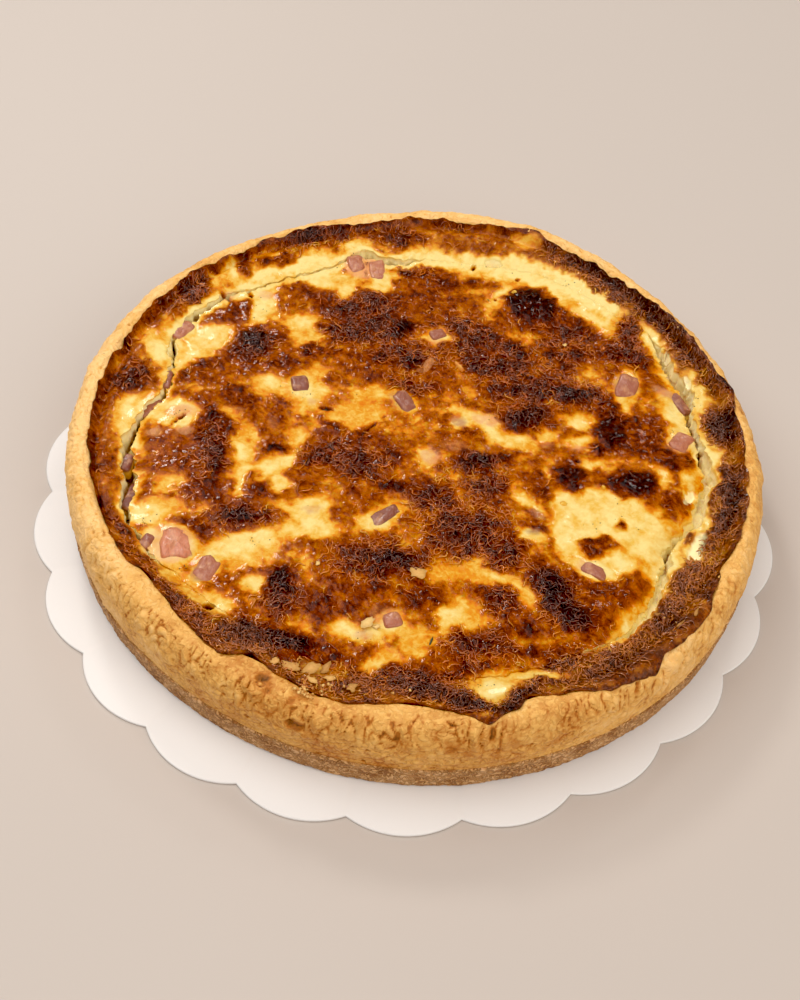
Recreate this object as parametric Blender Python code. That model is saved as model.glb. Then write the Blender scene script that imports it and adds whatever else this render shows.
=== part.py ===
"""A whole round quiche with ham, baked free of its tin, on its scalloped paper card.

Units are metres and +Z is up. The origin is the middle of the card's underside.
The crust, the custard and the ham share one centre, a little off the card's own.
Angles are measured round that centre, from +X towards +Y.
"""

import math

import bmesh
import bpy
from mathutils import Matrix, Vector

MM = 0.001
FIT_GAP = 0.3 * MM  # clear space between pieces that rest on or in each other

# Card
CARD_RADIUS = 150 * MM  # to the tip of a scallop
CARD_NOTCH_RADIUS = 144.2 * MM  # to the notch between two scallops
CARD_THICKNESS = 1.2 * MM
CARD_SCALLOPS = 22
CARD_ARC_STEPS = 6
CARD_TURN = math.radians(3.2)

# Quiche as a whole
QUICHE_CENTRE = Vector((2.3 * MM, 6.9 * MM, CARD_THICKNESS + FIT_GAP))
AROUND = 120  # points round every turned shape

# Crust: a lower band shaped by the tin, and above a fold line a roll that bulges out and over
BASE_RADIUS = 136.8 * MM
BASE_ROUNDING = 1.2 * MM
FOLD_HEIGHT = 12.5 * MM
FOLD_RADIUS = 138.0 * MM
FOLD_STEP = 0.7 * MM  # depth of the crease at the fold line
ROLL_CENTRE_RADIUS = 131.2 * MM
ROLL_CENTRE_HEIGHT = 24.0 * MM
ROLL_REACH = 7.2 * MM
ROLL_RISE = 12.3 * MM
ROLL_ANGLES = [math.radians(a) for a in (-50, -25, 0, 25, 48, 70, 90)]
CRUST_LIP_RADIUS = 128.6 * MM  # where the crust meets the custard's skin
CRUST_LIP_DROP = 1.6 * MM
CRUST_FLOOR = 4.5 * MM
CRUST_INNER_FOOT = 120.5 * MM
# Thick places of the rim as (angle in degrees, spread in degrees, how far in, in millimetres)
THICK_PLACES = ((106, 9, 2.5), (222, 12, 4.5), (246, 9, 5.5), (271, 9, 4.0), (293, 7, 2.5))
WRINKLE_DEPTH = 0.55 * MM
WRINKLE_COUNT = 31

# Custard: a sunken middle, a crack round it, and a raised ring that clings to the crust
MIDDLE_HEIGHT = 30.8 * MM
RING_LIP_HEIGHT = 33.0 * MM
CRACK_FLOOR_SHARE = 0.35  # width of the crack at its bottom, as a share of its width at the lips
MIDDLE_RINGS = (0.2, 0.4, 0.6, 0.78, 0.92)  # shares of the way from the centre to the crack

# The crack as (angle in degrees, radius, width at the lips, depth), lengths in millimetres.
# It closes along the near side, between 218 and 308 degrees.
CRACK = (
    (0, 114, 5.0, 7),
    (10, 113.5, 4.5, 7),
    (22, 115, 5.0, 8),
    (30, 116.5, 4.5, 6),
    (40, 118.5, 3.0, 5),
    (47, 112.5, 3.0, 4),
    (53, 110.5, 3.0, 4),
    (60, 115.5, 3.5, 4),
    (70, 110.5, 3.0, 4),
    (76, 113, 5.0, 6),
    (87, 109, 4.0, 4),
    (100, 105.5, 3.0, 5),
    (106, 113.5, 8.0, 7),
    (112, 107.5, 3.5, 7),
    (124, 107, 2.5, 6),
    (136, 111.5, 2.0, 5),
    (145, 117, 4.0, 7),
    (153, 116, 5.0, 8),
    (160, 110, 4.0, 8),
    (170, 104.5, 3.0, 7),
    (180, 111, 2.5, 7),
    (190, 113.8, 5.0, 9),
    (200, 114.8, 5.5, 9),
    (209, 117.3, 3.0, 6),
    (218, 114, 1.2, 1),
    (262, 112, 1.0, 1),
    (308, 115, 1.4, 1),
    (316, 116, 3.8, 6),
    (325, 115, 5.0, 7),
    (335, 109, 4.0, 7),
    (344, 113.5, 7.0, 7),
    (354, 115, 6.0, 7),
)

# Ham dice as (x, y, length, width, height, turn in degrees, tilt in degrees, how far the top
# stands above the custard), lengths in millimetres from the quiche's centre
HAM = (
    (-87.0, -59.5, 15.5, 12.5, 10, 100, 8, 1.2),
    (-74.5, -69.5, 12.0, 8.5, 9, 68, 12, 0.9),
    (-98.5, -59.0, 8.0, 5.0, 8, 62, 6, -0.6),
    (-108.2, -36.5, 13.5, 5.0, 8, 80, 5, -2.6),
    (-112.2, -20.5, 9.0, 4.5, 8, 86, 4, -3.0),
    (-107.2, 9.0, 11.5, 5.5, 8, 50, 6, -2.0),
    (-103.0, 23.5, 11.0, 3.6, 8, 88, 4, -2.6),
    (-101.0, 53.5, 11.0, 6.5, 8, 55, 8, 0.0),
    (-33.0, 100.5, 11.5, 7.5, 9, 104, 10, 0.8),
    (-23.5, 98.0, 12.5, 7.5, 9, 98, 10, 0.5),
    (5.2, 62.0, 7.5, 6.0, 7, 30, 8, 0.4),
    (-50.0, 27.0, 9.5, 7.5, 8, 100, 12, 0.7),
    (-6.5, 22.0, 12.0, 7.5, 8, 125, 12, 0.7),
    (84.5, 40.0, 14.0, 9.5, 9, 76, 10, 0.8),
    (106.5, 34.0, 13.0, 5.5, 8, 120, 8, -1.2),
    (105.5, 12.0, 10.5, 8.5, 9, 62, 8, 0.4),
    (-10.5, -37.5, 14.0, 6.5, 8, 40, 10, 0.8),
    (69.5, -57.5, 11.0, 6.5, 8, 155, 8, 0.6),
    (-4.3, -86.8, 7.5, 7.0, 8, 20, 8, 0.6),
)
HAM_EDGE_ROUNDING = 0.8 * MM
HAM_UNEVENNESS = 0.5 * MM
POCKET_GAP = 0.8 * MM  # clear space round a dice in its pocket
POCKET_OPENING = 6 * MM  # how far a pocket is cut upwards, past the custard's skin


def material(name, colour, roughness):
    """A plain Principled BSDF surface."""
    made = bpy.data.materials.new(name)
    made.use_nodes = True
    shader = made.node_tree.nodes["Principled BSDF"]
    shader.inputs["Base Color"].default_value = (*colour, 1.0)
    shader.inputs["Roughness"].default_value = roughness
    shader.inputs["Metallic"].default_value = 0.0
    return made


def add_object(name, mesh, surface, location=(0, 0, 0)):
    made = bpy.data.objects.new(name, mesh)
    made.location = location
    mesh.materials.append(surface)
    bpy.context.scene.collection.objects.link(made)
    return made


def mesh_from(name, points, faces):
    mesh = bpy.data.meshes.new(name)
    mesh.from_pydata(points, [], faces)
    mesh.validate()
    return mesh


def turned(angle_step):
    return 2 * math.pi * angle_step / AROUND


def ring_faces(ring_a, ring_b):
    """Quads between two rings of point numbers, of the same length."""
    count = len(ring_a)
    return [
        (ring_a[i], ring_a[(i + 1) % count], ring_b[(i + 1) % count], ring_b[i])
        for i in range(count)
    ]


def wall_faces(ring_a, ring_b, points):
    """Triangles between two rings of points. The diagonal always falls towards the next point,
    so two walls that face each other across a gap have the same creases."""
    faces = []
    for a, a_next, b_next, b in ring_faces(ring_a, ring_b):
        if points[a][2] > points[b][2]:
            faces += [(a, a_next, b_next), (a, b_next, b)]
        else:
            faces += [(a, a_next, b), (a_next, b_next, b)]
    return faces


def turned_mesh(name, sections):
    """A closed body from one section per angle. A section runs from the middle of the underside,
    out and up round the outside, and back to the middle of the top, as (radius, height) pairs."""
    inner = len(sections[0]) - 2
    points = [(0, 0, sections[0][0][1])]
    rings = []
    for step in range(1, inner + 1):
        start = len(points)
        for i, section in enumerate(sections):
            radius, height = section[step]
            points.append((radius * math.cos(turned(i)), radius * math.sin(turned(i)), height))
        rings.append(list(range(start, start + AROUND)))
    points.append((0, 0, sections[0][-1][1]))
    top_middle = len(points) - 1
    faces = [(0, rings[0][(i + 1) % AROUND], rings[0][i]) for i in range(AROUND)]
    for earlier, later in zip(rings, rings[1:]):
        faces += wall_faces(earlier, later, points)
    faces += [(rings[-1][i], rings[-1][(i + 1) % AROUND], top_middle) for i in range(AROUND)]
    return mesh_from(name, points, faces)


# Card -------------------------------------------------------------------------------------


def scallop_outline():
    """Points of the card's edge: one round arc bulging out between each pair of notches."""
    half = math.pi / CARD_SCALLOPS
    half_chord = CARD_NOTCH_RADIUS * math.sin(half)
    bulge = CARD_RADIUS - CARD_NOTCH_RADIUS * math.cos(half)
    arc_radius = (half_chord**2 + bulge**2) / (2 * bulge)
    arc_half = math.asin(half_chord / arc_radius)
    arc_middle = CARD_RADIUS - arc_radius
    outline = []
    for scallop in range(CARD_SCALLOPS):
        facing = CARD_TURN + (2 * scallop + 1) * half
        for step in range(CARD_ARC_STEPS):
            swing = arc_half * (2 * step / CARD_ARC_STEPS - 1)
            along = arc_middle + arc_radius * math.cos(swing)
            across = arc_radius * math.sin(swing)
            outline.append(
                (
                    along * math.cos(facing) - across * math.sin(facing),
                    along * math.sin(facing) + across * math.cos(facing),
                )
            )
    return outline


def make_card():
    outline = scallop_outline()
    count = len(outline)
    points = [(x, y, 0) for x, y in outline] + [(x, y, CARD_THICKNESS) for x, y in outline]
    low = list(range(count))
    high = list(range(count, 2 * count))
    faces = ring_faces(low, high) + [tuple(reversed(low)), tuple(high)]
    mesh = mesh_from("cake_card", points, faces)
    add_object("cake_card", mesh, material("white card", (0.88, 0.86, 0.84), 0.55))


# Crust ------------------------------------------------------------------------------------


def rim_rise(angle):
    """How far the rim stands above or below its mean height."""
    return (0.8 * math.sin(2 * angle + 0.6) + 0.6 * math.sin(5 * angle + 2.1)) * MM


def outline_sway(angle):
    """How far the quiche is out of round: slow waves, from two to six round the edge."""
    waves = ((0.9, 2, -2.84), (1.0, 3, -2.0), (0.8, 4, 2.48), (0.55, 5, 1.0), (0.3, 6, -1.06))
    return MM * sum(size * math.sin(count * angle + start) for size, count, start in waves)


def lip_radius(angle):
    """Where the crust meets the custard. The crust is thicker at the listed places."""
    degrees = math.degrees(angle) % 360
    inward = sum(
        depth * math.exp(-(((degrees - middle) / spread) ** 2)) for middle, spread, depth in THICK_PLACES
    )
    return CRUST_LIP_RADIUS + outline_sway(angle) * 0.6 - inward * MM


def wrinkle(angle, share_up_the_roll):
    """Shallow upright folds that fade out towards the fold line and the crest."""
    wave = math.sin(WRINKLE_COUNT * angle + 1.7 * math.sin(4 * angle))
    swell = 0.6 + 0.4 * math.sin(3 * angle + 2.0)
    return WRINKLE_DEPTH * wave * swell * math.sin(math.pi * share_up_the_roll)


def inner_wall(angle):
    """The crust's inner face from the lip down to the floor, as (radius, height) pairs."""
    lip = lip_radius(angle)
    lip_height = ROLL_CENTRE_HEIGHT + ROLL_RISE + rim_rise(angle) - CRUST_LIP_DROP
    return [(lip, lip_height), (lip - 0.8 * MM, lip_height - 4 * MM), (CRUST_INNER_FOOT, CRUST_FLOOR)]


def crust_section(angle):
    rise, sway = rim_rise(angle), outline_sway(angle)
    section = [
        (0, 0),
        (BASE_RADIUS + sway - BASE_ROUNDING, 0),
        (BASE_RADIUS + sway, BASE_ROUNDING),
        (FOLD_RADIUS + sway, FOLD_HEIGHT - FOLD_STEP),
        (FOLD_RADIUS + sway - FOLD_STEP, FOLD_HEIGHT),
    ]
    for number, roll in enumerate(ROLL_ANGLES):
        share = (number + 0.5) / len(ROLL_ANGLES)
        radius = ROLL_CENTRE_RADIUS + ROLL_REACH * math.cos(roll) + sway
        height = ROLL_CENTRE_HEIGHT + ROLL_RISE * math.sin(roll) + rise * share
        section.append((radius + wrinkle(angle, share), height))
    return section + inner_wall(angle) + [(0, CRUST_FLOOR)]


def make_crust():
    mesh = turned_mesh("crust", [crust_section(turned(i)) for i in range(AROUND)])
    for polygon in mesh.polygons:
        polygon.use_smooth = True
    surface = material("baked pastry", (0.62, 0.40, 0.19), 0.62)
    add_object("crust", mesh, surface, QUICHE_CENTRE)


# Custard ----------------------------------------------------------------------------------


def crack_at(angle):
    """The crack's (radius, width, depth) at an angle, eased between the listed places."""
    degrees = math.degrees(angle) % 360
    places = list(CRACK) + [(CRACK[0][0] + 360, *CRACK[0][1:])]
    for before, after in zip(places, places[1:]):
        if before[0] <= degrees <= after[0]:
            share = (degrees - before[0]) / (after[0] - before[0])
            share = share * share * (3 - 2 * share)
            return [(a + (b - a) * share) * MM for a, b in zip(before[1:], after[1:])]
    raise ValueError("the crack's places don't go all the way round")


def swell(x, y):
    """Slow rises and dips of the custard's surface."""
    return (
        0.5 * math.sin(x / (17 * MM) + 0.8) * math.cos(y / (21 * MM))
        + 0.4 * math.sin((x + y) / (13 * MM) + 2.2)
        + 0.3 * math.cos((x - 2 * y) / (19 * MM))
    ) * MM


def surface_height(x, y):
    """Height of the custard's top away from the crack."""
    angle = math.atan2(y, x)
    radius = math.hypot(x, y)
    crack_radius = crack_at(angle)[0]
    if radius < crack_radius:
        return MIDDLE_HEIGHT + swell(x, y)
    edge_height = inner_wall(angle)[0][1] - FIT_GAP
    share = min(1.0, (radius - crack_radius) / (lip_radius(angle) - crack_radius))
    calm = 1 - share
    return RING_LIP_HEIGHT + (edge_height - RING_LIP_HEIGHT) * share + swell(x, y) * calm


def custard_section(angle):
    crack_radius, width, depth = crack_at(angle)
    lip_in = crack_radius - width / 2
    lip_out = crack_radius + width / 2
    floor_half = width * CRACK_FLOOR_SHARE / 2

    def top(radius):
        return surface_height(radius * math.cos(angle), radius * math.sin(angle))

    crack_floor = top(lip_in) - depth
    wall = [(radius - FIT_GAP, height) for radius, height in inner_wall(angle)]
    foot = (wall[2][0], CRUST_FLOOR + FIT_GAP)
    edge = (wall[0][0], wall[0][1] - FIT_GAP)
    ring_middle = (lip_out + edge[0]) / 2
    middle = [(lip_in * share, top(lip_in * share)) for share in MIDDLE_RINGS]
    crack = [
        (lip_out, top(lip_out)),
        (crack_radius + floor_half, crack_floor),
        (crack_radius - floor_half, crack_floor),
        (lip_in, top(lip_in)),
    ]
    top_middle = (0, surface_height(0, 0))
    ring = [(0, foot[1]), foot, wall[1], edge, (ring_middle, top(ring_middle))]
    return ring + crack + middle[::-1] + [top_middle]


def make_custard():
    mesh = turned_mesh("custard", [custard_section(turned(i)) for i in range(AROUND)])
    surface = material("browned custard", (0.52, 0.24, 0.05), 0.35)
    return add_object("custard", mesh, surface, QUICHE_CENTRE)


# Ham --------------------------------------------------------------------------------------


def ham_block(name, number, size, grown_by=0.0, raised_by=0.0):
    """An uneven block with softened edges. A grown block with a raised top cuts a dice's pocket."""
    shape = bmesh.new()
    bmesh.ops.create_cube(shape, size=1.0)
    for place, corner in enumerate(shape.verts):
        shift = HAM_UNEVENNESS * math.sin(12.9 * number + 4.1 * place)
        lift = raised_by if corner.co.z > 0 else 0.0
        corner.co = Vector(
            (
                corner.co.x * (size[0] + 2 * grown_by) + shift,
                corner.co.y * (size[1] + 2 * grown_by) - shift,
                corner.co.z * (size[2] + 2 * grown_by) + 0.4 * shift + lift,
            )
        )
    bmesh.ops.bevel(
        shape, geom=shape.edges, offset=HAM_EDGE_ROUNDING, segments=1, affect="EDGES", profile=0.5
    )
    mesh = bpy.data.meshes.new(name)
    shape.to_mesh(mesh)
    shape.free()
    return mesh


def ham_place(x, y, height, turn, tilt, proud):
    """The matrix that sinks a block of that height into the custard."""
    top = surface_height(x, y) + proud
    move = Matrix.Translation(QUICHE_CENTRE + Vector((x, y, top - height / 2)))
    return move @ Matrix.Rotation(math.radians(turn), 4, "Z") @ Matrix.Rotation(math.radians(tilt), 4, "X")


def make_ham(custard):
    surface = material("cooked ham", (0.62, 0.27, 0.22), 0.4)
    for number, (x, y, length, width, height, turn, tilt, proud) in enumerate(HAM, start=1):
        size = (length * MM, width * MM, height * MM)
        place = ham_place(x * MM, y * MM, size[2], turn, tilt, proud * MM)
        name = f"ham_{number:02d}"
        dice = add_object(name, ham_block(name, number, size), surface)
        dice.matrix_world = place
        pocket = ham_block("pocket", number, size, POCKET_GAP, POCKET_OPENING)
        cutter = add_object(f"pocket_{number:02d}", pocket, surface)
        cutter.matrix_world = place
        cutter.hide_render = True
        cutter.display_type = "WIRE"
        cut = custard.modifiers.new(f"pocket {number}", "BOOLEAN")
        cut.operation = "DIFFERENCE"
        cut.solver = "EXACT"
        cut.object = cutter


def main():
    for old in list(bpy.data.objects):
        bpy.data.objects.remove(old)
    make_card()
    make_crust()
    custard = make_custard()
    make_ham(custard)


main()
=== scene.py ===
"""The looks of a whole baked ham quiche on its scalloped card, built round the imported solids.

Lengths in the tables and formulas are in millimetres, and places are measured from the quiche's centre,
with +X to the right, +Y to the back and Z up from the quiche's underside. Table angles are in degrees,
from +X towards +Y. A browning level runs from 0, pale custard, to 1, burnt black.
"""

import itertools
import math

import bpy
import numpy as np
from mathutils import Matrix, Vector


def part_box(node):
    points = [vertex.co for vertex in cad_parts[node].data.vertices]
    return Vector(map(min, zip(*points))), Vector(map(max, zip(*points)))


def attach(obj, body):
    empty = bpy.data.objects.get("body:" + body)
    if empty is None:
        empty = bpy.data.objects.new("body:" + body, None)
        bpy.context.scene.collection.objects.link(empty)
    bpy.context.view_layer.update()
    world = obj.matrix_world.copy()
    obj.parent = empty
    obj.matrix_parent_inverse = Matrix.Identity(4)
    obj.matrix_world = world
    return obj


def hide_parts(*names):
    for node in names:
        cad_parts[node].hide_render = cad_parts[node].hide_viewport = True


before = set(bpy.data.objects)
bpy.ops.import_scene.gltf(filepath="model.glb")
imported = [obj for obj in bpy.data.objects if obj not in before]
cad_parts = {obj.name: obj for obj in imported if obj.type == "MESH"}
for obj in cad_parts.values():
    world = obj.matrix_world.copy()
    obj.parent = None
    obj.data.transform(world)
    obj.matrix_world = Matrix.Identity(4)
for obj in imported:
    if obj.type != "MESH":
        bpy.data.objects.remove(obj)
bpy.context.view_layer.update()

bl_info = {
    "name": "Baked ham quiche",
    "version": (1, 0, 0),
    "blender": (4, 5, 0),
    "location": "View3D > Sidebar > Quiche",
    "description": "Builds a browned ham quiche with its crust, custard, toppings and card",
    "category": "Add Mesh",
}

# Sizes and places that come from the frame ----------------------------------------------------

MM = 0.001
FRAME_BOXES = {name: np.array(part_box(name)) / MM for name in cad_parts}
CARD_LOW, CARD_HIGH = FRAME_BOXES["cake_card"]
CRUST_LOW, CRUST_HIGH = FRAME_BOXES["crust"]
CUSTARD_LOW, CUSTARD_HIGH = FRAME_BOXES["custard"]
QUICHE_X = (CRUST_LOW[0] + CRUST_HIGH[0]) / 2 + 0.45
QUICHE_Y = (CRUST_LOW[1] + CRUST_HIGH[1]) / 2 - 0.75
QUICHE_Z = CRUST_LOW[2]
CREST_LIMIT = CRUST_HIGH[2] - QUICHE_Z - 0.05  # nothing stands higher than this

# Card
CARD_RADIUS = 149.87  # to the tip of a scallop
CARD_NOTCH_RADIUS = 144.2
CARD_THICKNESS = CARD_HIGH[2] - CARD_LOW[2]
CARD_SCALLOPS = 22
CARD_TURN = 3.2

# Crust
BASE_RADIUS = 136.8
FOLD_HEIGHT = 12.5
FOLD_RADIUS = 138.0
ROLL_CENTRE_RADIUS = 131.2
ROLL_CENTRE_HEIGHT = 24.0
ROLL_REACH = 7.2
ROLL_RISE = 12.3
LIP_RADIUS = 128.6  # where the crust meets the custard
LIP_DROP = 1.6
THICK_PLACES = ((106, 9, 2.5), (222, 12, 4.5), (246, 9, 5.5), (271, 9, 4.0), (293, 7, 2.5))

# Custard
MIDDLE_HEIGHT = 30.8
CUSTARD_FLOOR = CUSTARD_LOW[2] - QUICHE_Z
SEAM_RADIUS = 96.5  # between the custard's middle piece and its ring piece

# Browning -----------------------------------------------------------------------------------

# Each row is a patch: x, y, length, width, and the turn of its length from +X.
BROWN_PATCHES = (
    (-83, 62, 16, 20, 0), (-55, 83, 13, 10, 0), (-62, 56, 9, 15, 10), (-76, 38, 34, 12, 15),
    (-92, 32, 14, 10, 0), (-75, 17, 22, 12, 0), (-62, 6, 12, 7, 0), (-5, 96, 24, 18, 0),
    (-8, 78, 24, 14, 0), (14, 98, 36, 12, -4), (57, 80, 22, 14, -30), (-60, 32, 12, 8, 0),
    (101, -23, 10, 20, 8), (-95, -12, 26, 16, 0), (-45, -24, 12, 8, 0), (72, -72, 26, 20, 0),
    (-22, -80, 30, 22, -20), (15, -106, 30, 8, 0), (20, 124, 56, 14, 0), (48, 113, 14, 10, 0),
    (-124, 0, 8, 26, 0), (-124, 38, 8, 26, 30), (-116, -40, 7, 20, 20), (86, -57, 13, 27, 8),
    (60, -66, 30, 14, 0), (85, -24, 16, 8, 0), (-44, 107, 12, 8, 30), (36, 120, 10, 14, 0),
    (-85, -16, 14, 20, 0), (-10, -104, 16, 7, 0), (-62, -66, 18, 8, 0), (103, -46, 16, 8, 68),
    (8, 78, 36, 10, 0),  (66, -93, 14, 8, 40), (100, 4, 18, 14, 0),
)
GOLDEN_PATCHES = (
    (-3, 8, 24, 14, 0), (14, -12, 10, 14, 0), (-26, -111, 12, 7, 0), (102, -46, 16, 12, 68), (-10, 18, 16, 8, 0),
    (25, 88, 12, 15, 0), (53, 96, 12, 6, -20), (41, 64, 16, 14, 0), (95, 31, 16, 8, 0),
    (-45, -62, 30, 12, -10), (-66, -67, 16, 8, 0), (50, -52, 18, 14, 20), (28, -79, 12, 10, 0),
    (45, -90, 26, 5, 0), (58, -3, 16, 10, 0), (-20, -112, 16, 6, 5), (-113, 10, 12, 20, 0),
    (-74, 101, 20, 6, 25), (43, 124, 13, 13, 0), (58, 105, 14, 7, -30),
    (-117, -6, 10, 26, 0), (-28, 114, 12, 8, 0), (75, 7, 12, 30, 0), (40, 54, 14, 6, 30),
    (-38, 20, 18, 14, 0), (-57, 66, 28, 16, -20), (-60, 20, 30, 6, -15), (-32, -30, 14, 10, 0),
    (2, -48, 16, 8, 20), (15, -22, 8, 24, 10), (30, -95, 36, 4, 0), (15, 28, 24, 5, 20),
    (-105, -2, 12, 6, 0), (-88, 45, 26, 10, 0), (70, 40, 12, 16, 0), (0, -10, 14, 16, 0),
    (86, -3, 22, 6, 0), (-35, -94, 12, 4, -20), (-48, 2, 14, 18, 0), (40, -12, 8, 22, 0),
)
YELLOW_PATCHES = (
    (12, -64, 14, 8, 0), (24, -82, 14, 11, 0), (-86, -76, 24, 8, -45), (-64, -64, 14, 8, 0), (-32, 8, 10, 8, 0),
    (-50, 60, 20, 20, 20), (-25, 13, 26, 14, 10), (-20, 24, 18, 9, 0), (-77, 8, 7, 6, 0),
    (-96, -44, 20, 12, -10), (-94, -31, 14, 9, 20), (-108, 50, 9, 24, -12), (-93, 80, 9, 20, -15), (-58, 97, 22, 6, 20), (28, -62, 28, 11, -15), (-5, -104, 14, 9, 0), (4, -94, 12, 15, 0),
    (-78, -80, 30, 9, -46), (-92, 42, 18, 8, 0), (46, 19, 6, 10, 0), (-112, 44, 8, 16, 0),
    (-58, 24, 22, 5, 10), (-48, 16, 16, 5, -30), (-50, 50, 16, 7, 0), (-35, 86, 10, 8, 0),
    (62, 97, 7, 14, -10), (-66, -2, 7, 14, 10), (-42, 34, 10, 7, 0), (-83, -76, 16, 7, -45),
    (103, -33, 5, 12, 0), (98, 56, 7, 18, 20), (84, -83, 8, 7, 0), (-116, 2, 8, 22, 5),
    (-42, -9, 8, 10, 0), (-110, -47, 6, 12, 20), (68, 30, 8, 8, 0),
)
CREAM_PATCHES = (
    (5, 108, 26, 8, 5), (30, 107, 28, 9, -10), (48, 102, 18, 9, -15), (59, 97, 9, 15, 30), (100, 53, 9, 17, 22),
    (-89, -60, 22, 18, 0),
    (-71, 70, 13, 22, 5), (-78, 78, 14, 8, 30), (-46, 89, 14, 12, 10), (-36, 84, 9, 8, 0),
    (-38, 92, 16, 7, 0), (-20, 93, 10, 14, 10), (-22, 86, 10, 6, 0), (-88, 51, 20, 12, 15),
    (-97, 43, 10, 24, -10), (-52, 63, 12, 10, 0), (-44, 56, 9, 11, 30), (-45, 24, 13, 16, -20),
    (-98, 5, 24, 15, 0), (-62, 27, 12, 6, 0), (-46, -2, 7, 9, 0), (31, 89, 6, 24, -22),
    (71, 78, 28, 13, -42), (5, 61, 16, 11, 0), (22, 17, 24, 7, -14), (34, 8, 26, 12, -30),
    (65, 19, 11, 8, 0), (66, 8, 14, 5, 8), (51, 10, 9, 7, -30), (84, 27, 7, 10, 0),
    (104, 28, 9, 20, 25), (106, 20, 7, 8, 0), (98, -8, 7, 18, 0), (-101, -47, 18, 9, 0), (-110, -12, 4, 12, 15),
    (-82, -42, 9, 12, 0), (-68, -13, 8, 14, 0), (-60, -21, 20, 9, 10), (-52, -14, 14, 11, 0),
    (-66, -30, 6, 14, 10), (-52, -27, 9, 9, 0), (-43, -44, 24, 16, -10), (-34, -48, 14, 9, 0),
    (-38, -36, 13, 9, 0), (-61, -57, 28, 12, 15), (-55, -75, 11, 9, 0), (-66, -85, 10, 8, -30),
    (-70, -62, 14, 9, 20), (-20, -92, 20, 8, -20), (-7, -91, 13, 9, 0), (-8, -108, 9, 6, 0),
    (76, -30, 44, 22, -12), (64, -44, 17, 30, 18), (89, -38, 25, 22, -15), (60, -24, 16, 11, 0),
    (76, -52, 26, 12, 0), (93, -55, 8, 12, 0), (45, -27, 19, 6, -45), (46, -43, 11, 7, -20),
    (52, -13, 3, 12, 0), (44, -69, 8, 15, 30), (17, -84, 9, 15, 5), (84, -78, 30, 7, 51),
    (48, -107, 34, 7, 7), (33, -114, 19, 9, 12), (-108, 38, 8, 12, 0),
    (-85, 90, 8, 13, 0), (-74, 87, 16, 7, 20), (-56, 97, 38, 8, 27), (-34, 111, 12, 9, 0),
    (94, 73, 10, 16, 15), (86, 85, 5, 5, 0), (98, 64, 8, 16, 20), (113, 41, 9, 18, 0), (115, 31, 5, 12, 0),
    (117, 3, 12, 8, 15), (113, 6, 6, 10, 0), (112, -36, 5, 16, -14), (109, -8, 7, 20, -10),
    (69, -4, 16, 5, 0), (-14, -42, 18, 8, 25), (3, -8, 8, 9, 0), (16, 13, 8, 8, 0),
    (33, -62, 9, 5, 0), (-115, 1, 6, 15, 0), (36, 101, 50, 7, -5), (57, 92, 9, 14, 10),
    (24, 108, 30, 6, 0), (97, -49, 7, 14, 20),
    (108.6, -45.0, 26, 8.5, 71),
)
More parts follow.
